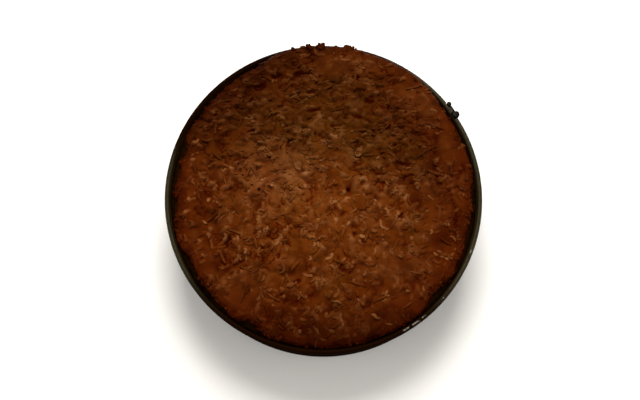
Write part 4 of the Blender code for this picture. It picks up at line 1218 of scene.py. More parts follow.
def make_cake():
    """The cake under the topping, with a crumbly side."""
    shape = bmesh.new()
    rows = []
    for number in range(CAKE_SECTORS):
        azimuth = 2.0 * math.pi * number / CAKE_SECTORS
        points = cake_section(azimuth)
        if not rows:
            top = shape.verts.new((0.0, 0.0, points[0][1]))
            bottom = shape.verts.new((0.0, 0.0, points[-1][1]))
        rows.append([
            shape.verts.new((radius * math.cos(azimuth), radius * math.sin(azimuth), height))
            for radius, height in points[1:-1]])
    for row, following in zip(rows, rows[1:] + rows[:1]):
        shape.faces.new((top, row[0], following[0]))
        for (inner, outer), (next_inner, next_outer) in zip(
                zip(row, row[1:]), zip(following, following[1:])):
            shape.faces.new((inner, outer, next_outer, next_inner))
        shape.faces.new((bottom, following[-1], row[-1]))
    for corner in shape.verts:
        if BASE_FLANGE_TOP + MM < corner.co.z < CAKE_EDGE_HEIGHT:
            pitted = noise.turbulence(corner.co / (3.0 * MM), 3, False)
            corner.co.xy *= 1.0 - CRUMB_DEPTH * pitted / CAKE_RADIUS
    return from_shape("cake_layer", shape)


# Topping

def wave(x, y, size, level=0.0):
    """Smooth noise from -1 to 1 here, in lumps of a given size; its level picks the pattern."""
    return noise.noise(Vector((x, y, level)) / size)


def between(degrees, start, full, leave, end):
    """1 from full to leave, 0 before start and after end."""
    return smoothstep(start, full, degrees) - smoothstep(leave, end, degrees)


def over_rim(degrees):
    """How far the topping has risen above the rim here, and how far it reaches over it."""
    rise = between(degrees, RISE_START, RISE_END, FALL_START, FALL_END)
    return rise, between(degrees, REACH_START, REACH_END, LEAVE_START, LEAVE_END)


def edge_radius(azimuth):
    """The ragged outline of the topping."""
    degrees = math.degrees(azimuth) % 360.0
    around = Vector((math.cos(azimuth), math.sin(azimuth), 0.3)) * EDGE_NOISE_SCALE
    radius = TOPPING_RADIUS + EDGE_NOISE * noise.noise(around)
    for bearing, half_width, reach in EDGE_FEATURES:
        distance = abs((degrees - bearing + 180.0) % 360.0 - 180.0)
        radius += reach * (1.0 - smoothstep(0.25 * half_width, half_width, distance))
    rise, reach = over_rim(degrees)
    radius = mix(min(radius, TOPPING_WALL_RADIUS), TOPPING_WALL_RADIUS, rise)
    covered = between(degrees, COVER_START, COVER_FULL, COVER_LEAVE, COVER_END)
    over = mix(RIM_SHOWING_RADIUS, OVER_RIM_RADIUS, covered)
    over -= 0.6 * EDGE_NOISE * (1.0 + noise.noise(around * 2.0))
    return mix(radius, over, reach)


def ridge(x, y):
    """The crest that a spatula left in the topping, and the trough beside it."""
    across, up = x - RIDGE_CENTRE[0], y - RIDGE_CENTRE[1]
    bearing = math.atan2(up, across) % (2.0 * math.pi)
    fade = smoothstep(RIDGE_FROM, RIDGE_FROM + 0.4, bearing)
    fade *= 1.0 - smoothstep(RIDGE_TO - 0.4, RIDGE_TO, bearing)
    out = math.hypot(across, up) - RIDGE_RADIUS
    crest = RIDGE_HEIGHT * math.exp(-(out / RIDGE_WIDTH) ** 2)
    trough = TROUGH_DEPTH * math.exp(-((out - TROUGH_OUT) / TROUGH_WIDTH) ** 2)
    return fade * (crest - trough)


def relief(x, y):
    """Lumps, bumps and the spatula's ridge."""
    lumps = LUMP_HEIGHT * wave(x, y, LUMP_SIZE, 0.02)
    bumps = BUMP_HEIGHT * wave(x, y, BUMP_SIZE, 0.02)
    return lumps + bumps + ridge(x, y)


def topping_top(x, y):
    """Height of the topping before its edge rounds over."""
    azimuth = math.atan2(y, x) % (2.0 * math.pi)
    share = min(math.hypot(x, y) / TOPPING_RADIUS, 1.0)
    rise, _ = over_rim(math.degrees(azimuth))
    shoulder = mix(TOPPING_SHOULDER_HEIGHT, OVER_RIM_TOP, rise)
    return mix(TOPPING_CENTRE_HEIGHT, shoulder, share ** 2.6) + relief(x, y)


def smooth_share(x, y):
    """1 where the spatula left the topping smooth, 0 elsewhere."""
    share = 0.0
    for centre_x, centre_y, radius in SMOOTH_PLACES:
        wander = 1.0 + 0.5 * wave(x, y, 0.7 * radius, centre_x)
        distance = math.hypot(x - centre_x, y - centre_y) / (radius * wander)
        share = max(share, 1.0 - smoothstep(0.6, 1.1, distance))
    return share


def cleft(x, y):
    """Depth of the dark clefts here."""
    depth = 0.0
    for centre_x, centre_y, degrees, length, width in CLEFTS:
        across, up = x - centre_x, y - centre_y
        if abs(across) + abs(up) > 2.0 * length:
            continue
        turn = math.radians(degrees)
        along = across * math.cos(turn) + up * math.sin(turn)
        aside = up * math.cos(turn) - across * math.sin(turn) - 0.12 * along * along / length
        ends = max(1.0 - (2.0 * along / length) ** 2, 0.0)
        depth = max(depth, CLEFT_DEPTH * ends * math.exp(-(aside / width) ** 2))
    return depth


def crack(x, y):
    """Depth of the fine irregular furrows, mostly in the back half."""
    place = Vector((x, y, 0.07))
    patch = noise.noise(place / CRACK_PATCH) + 0.3 * y / TOPPING_RADIUS
    if patch < -0.1:
        return 0.0
    line = abs(noise.noise(place / CRACK_SIZE) + 0.35 * noise.noise(place * 2.6 / CRACK_SIZE))
    return CRACK_DEPTH * smoothstep(-0.1, 0.3, patch) * (1.0 - smoothstep(0.0, CRACK_WIDTH, line))


def heading_spread(x, y):
    """How far the shreds turn from lying across: less in the back half."""
    return mix(math.radians(88.0), math.radians(30.0), smoothstep(-10.0 * MM, 65.0 * MM, y))


def roughness(x, y):
    """How rough the topping is: most at the middle and back, least where a spatula passed."""
    drift = min(max(0.6 + 1.3 * wave(x, y, DRIFT_SIZE), 0.08), 1.0)
    calm = smoothstep(*CALM_OUT, math.hypot(x, y)) * smoothstep(*CALM_FRONT, y)
    return drift * mix(1.0, EDGE_ROUGHNESS, calm) * (1.0 - 0.93 * smooth_share(x, y))


def raster_places(first, last):
    """Places of a run of raster lines."""
    return np.arange(first, last) * RASTER_PITCH - RASTER_HALF


def crinkles(count):
    """Small sideways shifts of every raster point, which crinkle the pressed shreds."""
    noise.seed_set(CRINKLE_SEED)
    places = raster_places(0, count).tolist()
    shifts = [
        [noise.noise_vector(Vector((x, y, 0.05)) / CRINKLE_SIZE)[:2] for x in places]
        for y in places]
    return CRINKLE_REACH * np.array(shifts)


def raster_window(x, y, reach, count):
    """The part of a raster round a place, and how far its points lie across and up from it."""
    steps = int(reach / RASTER_PITCH) + 2
    slices, away = [], []
    for place in (y, x):
        middle = int((place + RASTER_HALF) / RASTER_PITCH)
        first, last = max(middle - steps, 0), min(middle + steps, count)
        slices.append(slice(first, last))
        away.append(raster_places(first, last) - place)
    return tuple(slices), away[1][None, :], away[0][:, None]


def pressed_shreds(settings):
    """Height, tone and moats of the shreds half sunk in the topping's skin, on square rasters."""
    chance = np.random.default_rng(settings.pressed_seed)
    count = int(2.0 * RASTER_HALF / RASTER_PITCH) + 1
    heights, tones = np.full((count, count), SKIN_LEVEL), np.full((count, count), SKIN_TONE)
    moats = np.zeros((count, count))
    shifts = crinkles(count)
    for _ in range(settings.pressed_count):
        azimuth, share = chance.uniform(0.0, 2.0 * math.pi), math.sqrt(chance.uniform())
        radius = TOPPING_RADIUS * 1.04 * share
        x, y = radius * math.cos(azimuth), radius * math.sin(azimuth)
        flake = chance.uniform() < FLAKE_SHARE
        turn = chance.uniform(-1.0, 1.0) * heading_spread(x, y)
        half_length = 0.5 * chance.uniform(*(FLAKE_LENGTH if flake else PRESSED_LENGTH))
        half_width = 0.5 * chance.uniform(*(FLAKE_WIDTH if flake else PRESSED_WIDTH))
        bend = chance.uniform(-PRESSED_BEND, PRESSED_BEND)
        level = chance.uniform(*PRESSED_LEVEL)
        tilt = chance.uniform(-PRESSED_TILT, PRESSED_TILT)
        thickness = chance.uniform(*PRESSED_THICKNESS)
        tone = (FLAKE_TONE if flake else 1.0) * chance.uniform(0.0, 1.0) ** 2
        if chance.uniform() > roughness(x, y) + 0.15:
            continue
        here, across, up = raster_window(x, y, 1.3 * half_length + CRINKLE_REACH, count)
        across, up = across + shifts[here][..., 0], up + shifts[here][..., 1]
        along = across * math.cos(turn) + up * math.sin(turn)
        aside = up * math.cos(turn) - across * math.sin(turn) - bend * along * along
        body = 1.0 - (along / half_length) ** 4 - (aside / half_width) ** 2
        height = level + tilt * along / half_length + thickness * np.maximum(body, 0.0) ** 0.6
        above = (body > 0.0) & (height > heights[here])
        heights[here][above] = height[above]
        tones[here][above] = tone
        moat = np.where(body > 0.0, 0.0, np.maximum(1.0 + body / MOAT_REACH, 0.0))
        moats[here] = np.maximum(moats[here], moat)
    moats[heights > SKIN_LEVEL] = 0.0
    return [soft_raster(raster) for raster in (heights, tones, moats)]


def soft_raster(raster):
    """Blur a raster a little, as melted chocolate rounds things off."""
    for axis in (0, 1, 0, 1):
        before, after = np.roll(raster, 1, axis), np.roll(raster, -1, axis)
        raster = 0.25 * before + 0.5 * raster + 0.25 * after
    return raster


def read_raster(raster, x, y):
    """Height of the raster at places between its points."""
    across, up = (x + RASTER_HALF) / RASTER_PITCH, (y + RASTER_HALF) / RASTER_PITCH
    column, row = across.astype(int), up.astype(int)
    right, high = across - column, up - row
    low_row = mix(raster[row, column], raster[row, column + 1], right)
    high_row = mix(raster[row + 1, column], raster[row + 1, column + 1], right)
    return mix(low_row, high_row, high)


def square_disc(count):
    """A square grid pressed into a disc: share of the radius, azimuth, quads and boundary."""
    steps = np.linspace(-1.0, 1.0, count + 1)
    u, v = np.meshgrid(steps, steps)
    wide = np.abs(u) > np.abs(v)
    with np.errstate(divide="ignore", invalid="ignore"):
        share = np.where(wide, u, v)
        turn = np.where(wide, 0.25 * math.pi * v / u, 0.5 * math.pi - 0.25 * math.pi * u / v)
    turn = np.where(share == 0.0, 0.0, turn)
    azimuth = np.where(share < 0.0, turn + math.pi, turn) % (2.0 * math.pi)
    index = np.arange((count + 1) ** 2).reshape(count + 1, count + 1)
    quads = np.stack([index[:-1, :-1], index[:-1, 1:], index[1:, 1:], index[1:, :-1]], axis=-1)
    loop = np.concatenate([index[0, :-1], index[:-1, -1], index[-1, :0:-1], index[:0:-1, 0]])
    return np.abs(share).ravel(), azimuth.ravel(), quads.reshape(-1, 4), loop


def smooth_chain(points, count):
    """Points along a smooth curve through the given ones, which are rows of radius and height."""
    points = [2.0 * points[0] - points[1]] + list(points) + [2.0 * points[-1] - points[-2]]
    result = []
    for place in np.linspace(0.0, len(points) - 3.0, count + 1)[1:]:
        first = min(int(place), len(points) - 4)
        t = place - first
        a, b, c, d = points[first:first + 4]
        result.append(0.5 * (
            2.0 * b + (c - a) * t + (2.0 * a - 5.0 * b + 4.0 * c - d) * t * t
            + (3.0 * (b - c) + d - a) * t ** 3))
    return result


def hole_depth(x, y):
    """Depth of the two air holes here."""
    depth = 0.0
    for hole_x, hole_y, hole_radius in AIR_HOLES:
        distance = math.hypot(x - hole_x, y - hole_y) / hole_radius
        depth = max(depth, AIR_HOLE_DEPTH * (1.0 - smoothstep(0.5, 1.25, distance)))
    return depth


def skin_here(x, y, skin, moat):
    """Height of the topping's skin here, and how far it stands out of the hollows."""
    smooth = smooth_share(x, y)
    skin = mix(skin - MOAT_DEPTH * moat, SKIN_LEVEL, 0.8 * smooth)
    behind = smoothstep(*BACK_GROWTH, y) * smoothstep(*BACK_FADE, math.hypot(x, y))
    skin = SKIN_LEVEL + (skin - SKIN_LEVEL) * mix(1.0, BACK_GAIN, behind)
    dimple = DIMPLE_DEPTH * wave(x, y, DIMPLE_SIZE, 0.04) * mix(0.25, 1.0, roughness(x, y))
    swell = SWELL_DEPTH * wave(x, y, SWELL_SIZE, 0.09)
    depth = max(cleft(x, y), hole_depth(x, y), crack(x, y) * (1.0 - smooth))
    # The stand-out follows the pressed shreds, dimples and swells, and it drops in clefts, air holes,
    # cracks and moats; the material paints low stand-out darker as painted shade and high stand-out
    # paler as painted highlight.
    stand = 0.5 * (skin - SKIN_LEVEL) / STAND_REACH + (0.4 * dimple + 0.25 * swell - depth) / MM
    height = topping_top(x, y) + skin + dimple + swell - depth
    return height, 0.5 + stand - 0.2 * moat * (1.0 - smooth)


def topping_heights(radius, azimuth, settings):
    """Place, stand-out and tone of the topping's top."""
    x, y = radius * np.cos(azimuth), radius * np.sin(azimuth)
    skins, tones, moats = [read_raster(raster, x, y) for raster in pressed_shreds(settings)]
    rows = [skin_here(*spot) for spot in zip(x.tolist(), y.tolist(), skins, moats)]
    heights, raised = np.array(rows).T
    heights = np.where(heights > KNEE, KNEE + KNEE_SLOPE * (heights - KNEE), heights)
    return x, y, heights, np.clip(raised, 0.0, 1.0), tones


def lip_rings(edge, top, rise):
    """Rings of radius and height: round the lip, out to the wall, and under to the cake."""
    above_rim = TIN_HEIGHT + RIM_AIR
    middle = mix(TOPPING_LIP_HEIGHT, above_rim + RIM_LIP, rise)
    fold, smear, foot, bottom = [
        mix(height, above_rim, rise)
        for height in (TOPPING_LIP_FOLD, SMEAR_HEIGHT, SMEAR_FOOT, TOPPING_LIP_BOTTOM - RIM_LIP)]
    chain = [
        (edge * TOPPING_FLAT_SHARE, top),
        (edge - 3.0 * MM, mix(middle, top, 0.72)),
        (edge - 0.9 * MM, mix(middle, top, 0.34)),
        (edge, middle),
        (edge - 0.9 * MM, fold),
        (TOPPING_WALL_RADIUS + 0.5 * MM * rise, smear),
        (TOPPING_WALL_RADIUS + 0.25 * MM * rise, foot),
        (np.minimum(TOPPING_WALL_RADIUS, edge - SHELF_INSET), bottom)]
    rings = smooth_chain([np.stack(pair) for pair in chain], LIP_RINGS)
    seat = np.minimum(CAKE_RADIUS - CAKE_SHOULDER, edge - SEAT_INSET)
    for radius in [seat] + [np.full(len(edge), share * CAKE_RADIUS) for share in UNDERSIDE_SHARES]:
        rings.append((radius, np.array([cake_top(out) + CAKE_AIR for out in radius.tolist()])))
    return rings


def crumple(place, number, radius, edge, rise):
    """Make one ring of the lip uneven, never past the topping's outline."""
    rough = np.array([
        noise.turbulence(Vector(spot) / LIP_CRUMPLE_SIZE, 3, False) for spot in place.tolist()])
    fade = math.sin(math.pi * (number + 1) / LIP_RINGS)
    room = np.maximum(edge, radius) - radius
    shift = np.minimum((0.9 * rough - 0.75) * MM * fade, room)
    place[:, :2] *= (1.0 + shift / radius)[:, None]
    place[:, 2] += (rough - 0.6) * MM * fade * (1.0 - rise)


def make_topping_mesh(settings):
    """The topping's mesh, with its stand-out, tone and shred cover as attributes."""
    share, azimuth, quads, loop = square_disc(TOPPING_GRID)
    edges = {turn: edge_radius(turn) for turn in set(azimuth.tolist())}
    edge = np.array([edges[turn] for turn in azimuth.tolist()])
    x, y, z, raised, tone = topping_heights(share * edge * TOPPING_FLAT_SHARE, azimuth, settings)
    turns, lip_edge = azimuth[loop], edge[loop]
    rise = np.array([over_rim(math.degrees(turn))[0] for turn in turns.tolist()])
    smooth = np.array([smooth_share(*spot) for spot in zip(x[loop].tolist(), y[loop].tolist())])
    # The shelf's dark colour is painted shade, fullest where the gap to the wall is widest.
    wide = np.clip((TOPPING_WALL_RADIUS - lip_edge) / LEDGE_FULL_WIDTH, LEDGE_LEAST, 1.0)
    corners, faces = [np.stack([x, y, z], axis=1)], [quads]
    lip_covers, ledge_shades = [0.0 * x], [0.0 * x]
    previous, total = loop, len(x)
    for number, (radius, height) in enumerate(lip_rings(lip_edge, z[loop], rise)):
        place = np.stack([radius * np.cos(turns), radius * np.sin(turns), height], axis=1)
        if number < LIP_RINGS - 1:
            crumple(place, number, radius, lip_edge, rise)
        corners.append(place)
        following = np.arange(total, total + len(loop))
        faces.append(np.stack(
            [previous, following, np.roll(following, -1), np.roll(previous, -1)], axis=1))
        previous, total = following, total + len(loop)
        lip_covers.append((number < LIP_RINGS // 2) * (1.0 - 0.85 * smooth))
        on_ledge = (number < LIP_RINGS) * smoothstep(0.5, 0.62, number / LIP_RINGS)
        ledge_shades.append(on_ledge * wide * (1.0 - rise))
    corners = np.concatenate(corners + [np.array([[0.0, 0.0, cake_top(0.0) + CAKE_AIR]])])
    closing = np.stack([previous, np.full_like(previous, total), np.roll(previous, -1)], axis=1)
    mesh = bpy.data.meshes.new("chocolate_spread")
    mesh.from_pydata(corners.tolist(), [], np.concatenate(faces).tolist() + closing.tolist())
    rest = np.ones(len(corners) - len(x))
    store_values(mesh, "raised", np.append(raised, LIP_RAISED * rest))
    store_values(mesh, "tone", np.append(tone, SKIN_TONE * rest))
    store_values(mesh, "ledge", np.append(np.concatenate(ledge_shades), 0.0))
    store_values(mesh, "edge_cover", np.append(np.concatenate(lip_covers), 0.0))
    cover = [shred_cover(*spot) for spot in zip(x.tolist(), y.tolist())]
    store_values(mesh, "cover", np.append(cover, 0.0 * rest))
    store_values(mesh, "spread", [heading_spread(*corner[:2]) for corner in corners.tolist()])
    return mesh


def shred_cover(x, y):
    """How thickly the loose shreds lie: as rough as the skin, none round the air holes."""
    for hole_x, hole_y, hole_radius in AIR_HOLES:
        if math.hypot(x - hole_x, y - hole_y) < hole_radius + AIR_HOLE_CLEARANCE:
            return 0.0
    bare = smoothstep(0.2 * CLEFT_BARE, CLEFT_BARE, cleft(x, y))
    return 0.9 * math.sqrt(roughness(x, y)) * (1.0 - bare)


# Shreds

def shred_rings(path, half_width, half_thickness, twist, chance, sides=SHRED_SIDES):
    """Flattened rings of uneven size round a path, closing to blunt ends."""
    rings = []
    last = len(path) - 1
    for number, centre in enumerate(path):
        ahead = (path[min(number + 1, last)] - path[max(number - 1, 0)]).normalized()
        side = Vector((-ahead.y, ahead.x, 0.0)).normalized()
        rise = ahead.cross(side)
        turn = twist * (number / last - 0.5)
        across = side * math.cos(turn) + rise * math.sin(turn)
        over = rise * math.cos(turn) - side * math.sin(turn)
        share = math.cos(math.pi * number / last)
        size = max(math.sqrt(1.0 - share ** 4), 0.3) * chance.uniform(*SHRED_RING_SIZE)
        rings.append([
            centre + across * (size * half_width * math.cos(angle))
            + over * (size * half_thickness * math.sin(angle))
            for angle in (2.0 * math.pi * corner / sides for corner in range(sides))])
    return rings


def lit_stand_out(stations, sides):
    """How far a shred's corners stand out: most along its top, least underneath, which paints its top
    paler as painted highlight and its underside darker as painted shade.
    """
    upward = np.sin(2.0 * np.pi * np.arange(sides) / sides)
    return np.tile(0.6 + 0.4 * upward, stations)


def make_shred_shapes(settings):
    """A collection of bent and twisted shreds of usual size, each lying along X."""
    chance = random.Random(settings.seed)
    group = bpy.data.collections.new("shred shapes")
    for number in range(SHRED_SHAPES):
        half = 0.5 * settings.length * chance.uniform(0.8, 1.1)
        bend, arch = chance.uniform(-0.9, 0.9), chance.uniform(-0.05, 0.12)
        sway, turns = chance.uniform(0.1, 0.3), chance.uniform(3.5, 5.5)
        phase = chance.uniform(0.0, 2.0 * math.pi)
        path = []
        for station in range(SHRED_STATIONS):
            share = -math.cos(math.pi * station / (SHRED_STATIONS - 1))
            aside = half * (bend * share * share + sway * math.sin(turns * share + phase))
            path.append(Vector((half * share, aside, half * arch * (1.0 - share * share))))
        rings = shred_rings(
            path, 0.5 * settings.width * chance.uniform(0.8, 1.15), 0.5 * settings.thickness,
            chance.uniform(-0.9, 0.9), chance)
        mesh = closed_mesh(f"shred_shape_{number}", loft(rings))
        mesh.shade_smooth()
        store_values(mesh, "raised", lit_stand_out(SHRED_STATIONS, SHRED_SIDES))
        group.objects.link(bpy.data.objects.new(mesh.name, mesh))
    return group


def random_value(tree, low, high, seed):
    """A random number for each point."""
    made = add_node(
        tree, "FunctionNodeRandomValue", {2: low, 3: high, "Seed": seed}, data_type="FLOAT")
    return made.outputs[1]


def shred_tree():
    """Scatters shreds on the topping: each lies along the surface, tilted and sunk by chance."""
    tree, start, end = new_tree("shreds on the spread", (
        ("Spread", "NodeSocketGeometry", None),
        ("Shapes", "NodeSocketCollection", None),
        ("Material", "NodeSocketMaterial", None),
        ("Cover", "NodeSocketString", "cover"),
        ("Spacing", "NodeSocketFloat", 0.9 * MM),
        ("Density", "NodeSocketFloat", 50000.0),
        ("Smallest", "NodeSocketFloat", 0.55),
        ("Largest", "NodeSocketFloat", 1.5),
        ("Tilt", "NodeSocketFloat", 0.16),
        ("Lowest", "NodeSocketFloat", 0.0),
        ("Highest", "NodeSocketFloat", 0.5 * MM),
        ("Palest", "NodeSocketFloat", 1.0),
        ("Seed", "NodeSocketInt", 1)))
    given = start.outputs
    cover = add_node(
        tree, "GeometryNodeInputNamedAttribute", {"Name": given["Cover"]}, data_type="FLOAT")
    spread = add_node(
        tree, "GeometryNodeInputNamedAttribute", {"Name": "spread"}, data_type="FLOAT")
    points = add_node(tree, "GeometryNodeDistributePointsOnFaces", {
        "Mesh": given["Spread"], "Distance Min": given["Spacing"], "Density Max": given["Density"],
        "Density Factor": cover.outputs["Attribute"], "Seed": given["Seed"]},
        distribute_method="POISSON")
    normal = points.outputs["Normal"]
    height = random_value(tree, given["Lowest"], given["Highest"], 1)
    lift = add_node(
        tree, "ShaderNodeVectorMath", {0: normal, "Scale": height}, operation="SCALE")
    lifted = add_node(tree, "GeometryNodeSetPosition", {
        "Geometry": points.outputs["Points"], "Offset": lift.outputs[0]})
    upright = add_node(
        tree, "FunctionNodeAlignRotationToVector", {"Vector": normal}, axis="Z")
    heading = math_value(
        tree, "MULTIPLY", random_value(tree, -1.0, 1.0, 2), spread.outputs["Attribute"])
    pitch = math_value(tree, "MULTIPLY", random_value(tree, -1.0, 1.0, 3), given["Tilt"])
    roll = random_value(tree, -0.5, 0.5, 4)
    turn = add_node(tree, "ShaderNodeCombineXYZ", {"X": roll, "Y": pitch, "Z": heading})
    turned_by = add_node(tree, "FunctionNodeEulerToRotation", {"Euler": turn.outputs[0]})
    rotation = add_node(tree, "FunctionNodeRotateRotation", {
        "Rotation": upright.outputs[0], "Rotate By": turned_by.outputs[0]},
        rotation_space="LOCAL")
    size = add_node(tree, "ShaderNodeCombineXYZ", {
        "X": random_value(tree, given["Smallest"], given["Largest"], 5),
        "Y": random_value(tree, 0.55, 1.1, 6), "Z": random_value(tree, 0.8, 1.2, 7)})
    shapes = add_node(tree, "GeometryNodeCollectionInfo", {
        "Collection": given["Shapes"], "Separate Children": True, "Reset Children": True})
    placed = add_node(tree, "GeometryNodeInstanceOnPoints", {
        "Points": lifted.outputs[0], "Instance": shapes.outputs[0], "Pick Instance": True,
        "Rotation": rotation.outputs[0], "Scale": size.outputs[0]})
    tone = math_value(tree, "POWER", random_value(tree, 0.0, 1.0, 8), 2.2)
    toned = add_node(tree, "GeometryNodeStoreNamedAttribute", {
        "Geometry": placed.outputs[0], "Name": "tone",
        "Value": math_value(tree, "MULTIPLY", tone, given["Palest"])},
        data_type="FLOAT", domain="INSTANCE")
    end_tree(tree, toned.outputs[0], given["Material"], end)
    return tree


def keep_clear(mesh, corner_count):
    """Move each shred as a whole so that it clears the tin and the clasp and keeps the form."""
    places = np.empty(len(mesh.vertices) * 3, np.float32)
    mesh.vertices.foreach_get("co", places)
    shreds = places.reshape(-1, corner_count, 3).astype(float)
    centre = shreds.mean(axis=1)
    bearing = np.arctan2(centre[:, 1], centre[:, 0]) % (2.0 * math.pi)
    turns = np.linspace(0.0, 2.0 * math.pi, 1441)
    edge = np.interp(bearing, turns, [edge_radius(turn) for turn in turns.tolist()])
    low = shreds[:, :, 2].min(axis=1) < TIN_HEIGHT + RIM_AIR
    furthest = np.where(low, TIN_INNER_RADIUS - 0.5 * MM, OVER_RIM_RADIUS)
    edge = np.minimum(edge + SHRED_OVERHANG, furthest)
    excess = np.hypot(shreds[:, :, 0], shreds[:, :, 1]).max(axis=1) - edge
    out = centre[:, :2] / np.maximum(np.hypot(centre[:, 0], centre[:, 1]), MM)[:, None]
    shreds[:, :, :2] -= (out * np.maximum(excess, 0.0)[:, None])[:, None, :]
    shreds[:, :, 2] -= np.maximum(shreds[:, :, 2].max(axis=1) - HIGHEST, 0.0)[:, None]
    mesh.vertices.foreach_set("co", shreds.ravel().astype(np.float32))
    mesh.update()


def big_stations():
    """Shares of a large shred's length, closer together at its ends."""
    return [
        0.5 - 0.5 * math.cos(math.pi * station / (BIG_STATIONS - 1))
        for station in range(BIG_STATIONS)]


def big_shred(number, chance):
    """One of the largest shreds, lying half sunk along the topping."""
    azimuth = number * GOLDEN_ANGLE
    spread = math.sqrt((number + 0.5) / BIG_SHRED_COUNT)
    centre = spread * (edge_radius(azimuth) - SHRED_EDGE_INSET)
    length = chance.uniform(*BIG_SHRED_LENGTH)
    width = chance.uniform(*BIG_SHRED_WIDTH)
    heading = chance.uniform(0.0, math.pi)
    bend = chance.uniform(-BIG_SHRED_BEND, BIG_SHRED_BEND)
    step = 0.5 * length
    x = centre * math.cos(azimuth) - step * math.cos(heading)
    y = centre * math.sin(azimuth) - step * math.sin(heading)
    first = Vector((x, y))
    turn = heading - 0.5 * bend
    middle = first + step * Vector((math.cos(turn), math.sin(turn)))
    last = middle + step * Vector((math.cos(heading), math.sin(heading)))
    control = 2.0 * middle - 0.5 * (first + last)
    path = []
    for share in big_stations():
        place = first.lerp(control, share).lerp(control.lerp(last, share), share)
        height = topping_top(place.x, place.y) + BIG_SHRED_LIFT
        path.append(Vector((place.x, place.y, height)))
    return shred_rings(path, 0.5 * width, 0.5 * BIG_SHRED_THICKNESS, 0.0, chance, BIG_SIDES)


def clump_shred(bearing, height, chance):
    """One shred of a clump over the rim, leaning up to the clump's height."""
    azimuth = math.radians(bearing)
    start = Vector((CLUMP_RADIUS * math.cos(azimuth), CLUMP_RADIUS * math.sin(azimuth), CLUMP_FOOT))
    start.x += chance.uniform(-CLUMP_SPREAD, CLUMP_SPREAD)
    start.y += chance.uniform(-CLUMP_SPREAD, 0.3 * CLUMP_SPREAD)
    turn = azimuth + chance.uniform(-0.55 * math.pi, 0.55 * math.pi)
    length = CLUMP_LENGTH * chance.uniform(0.75, 1.1)
    climb = math.asin(min((height - CLUMP_FOOT) / length, 0.95)) * chance.uniform(0.35, 1.0)
    level = math.cos(climb)
    along = Vector((math.cos(turn) * level, math.sin(turn) * level, math.sin(climb)))
    sideways = Vector((-math.sin(turn), math.cos(turn), 0.0)) * chance.uniform(-MM, MM)
    path = [
        start + along * length * share + sideways * math.sin(2.8 * share)
        for share in big_stations()]
    return shred_rings(
        path, 0.5 * CLUMP_WIDTH, 0.5 * CLUMP_THICKNESS, chance.uniform(-1.0, 1.0), chance, BIG_SIDES)


def make_big_shreds():
    """The largest shreds and the clumps over the rim, in one mesh."""
    chance = random.Random(BIG_SHRED_SEED)
    shape = bmesh.new()
    for number in range(2, BIG_SHRED_COUNT):
        loft(big_shred(number, chance), shape)
    for bearing, height, count in CLUMPS:
        for _ in range(count):
            loft(clump_shred(bearing, height, chance), shape)
    mesh = closed_mesh("big_shreds", shape)
    corner_count = BIG_STATIONS * BIG_SIDES
    shred_count = len(mesh.vertices) // corner_count
    store_values(mesh, "raised", np.tile(lit_stand_out(BIG_STATIONS, BIG_SIDES), shred_count))
    tones = np.array([chance.uniform(0.0, 0.3) for _ in range(shred_count)])
    store_values(mesh, "tone", np.repeat(tones, corner_count))
    keep_clear(mesh, corner_count)
    return mesh


def add_topping_piece(name, mesh, chocolate):
    """Add a piece that stands for part of the topping, smooth all over."""
    item = add_object(name, mesh, chocolate, 180.0)
    finish_piece(item, chocolate, "tin", "chocolate_topping", "topping")


# Stage

def add_light(name, place, size, power, color):
    """A square soft light aimed at the middle of the stage."""
    data = bpy.data.lights.new(name, "AREA")
    data.size = size
    data.energy = power
    data.color = color
    light = bpy.data.objects.new(name, data)
    light.location = place
    light.rotation_euler = (Vector(LIGHT_AIM) - Vector(place)).to_track_quat("-Z", "Y").to_euler()
    bpy.context.scene.collection.objects.link(light)


def make_floor(color):
    """A wide pale floor with a very faint grain."""
    shape = bmesh.new()
    bmesh.ops.create_circle(shape, cap_ends=True, segments=96, radius=FLOOR_RADIUS)
    bmesh.ops.translate(shape, verts=shape.verts, vec=(0.0, 0.0, -FLOOR_DROP))
    finish = Finish("floor", Roughness=0.9, Specular_IOR_Level=0.1)
    grain = finish.span(finish.noise(4.0), 0.3, 0.7)
    darker = [0.985 * channel for channel in color]
    finish.link(finish.blend(grain, color, darker), "Base Color")
    from_shape("floor", shape, finish.material)


def make_studio(settings):
    """A soft key light from behind, a fill light on each side and a pale surrounding."""
    add_light("key", KEY_PLACE, KEY_SIZE, settings.key_power, KEY_COLOR)
    for name, place in FILL_PLACES:
        add_light(name, place, FILL_SIZE, settings.fill_power, FILL_COLOR)
    world = bpy.data.worlds.new("studio")
    world.use_nodes = True
    background = world.node_tree.nodes["Background"]
    background.inputs["Color"].default_value = STUDIO_COLOR
    background.inputs["Strength"].default_value = STUDIO_STRENGTH
    scene = bpy.context.scene
    scene.world = world
    scene.view_settings.view_transform = "Standard"
    scene.view_settings.look = "None"


def make_camera(settings):
    """The camera, at the photograph's angle."""
    data = bpy.data.cameras.new("camera")
    data.lens = settings.lens
    data.sensor_width = 36.0
    camera = bpy.data.objects.new("camera", data)
    back = Vector((0.0, -math.cos(settings.elevation), math.sin(settings.elevation)))
    camera.location = Vector(CAMERA_AIM) + settings.distance * back
    camera.rotation_euler = (-back).to_track_quat("-Z", "Y").to_euler()
    bpy.context.scene.collection.objects.link(camera)
    bpy.context.scene.camera = camera


# Operators

class CAKE_OT_tin(bpy.types.Operator):
    """Make the springform band and its loose base"""

    bl_idname = "cake.tin"
    bl_label = "Tin"

    def execute(self, context):
        coating = coating_material(context.scene.cake_tin)
        finish_piece(make_band(), coating, "tin", "tin_coating", "tin_band")
        finish_piece(make_base(), coating, "tin", "tin_coating", "tin_base")
        return {"FINISHED"}


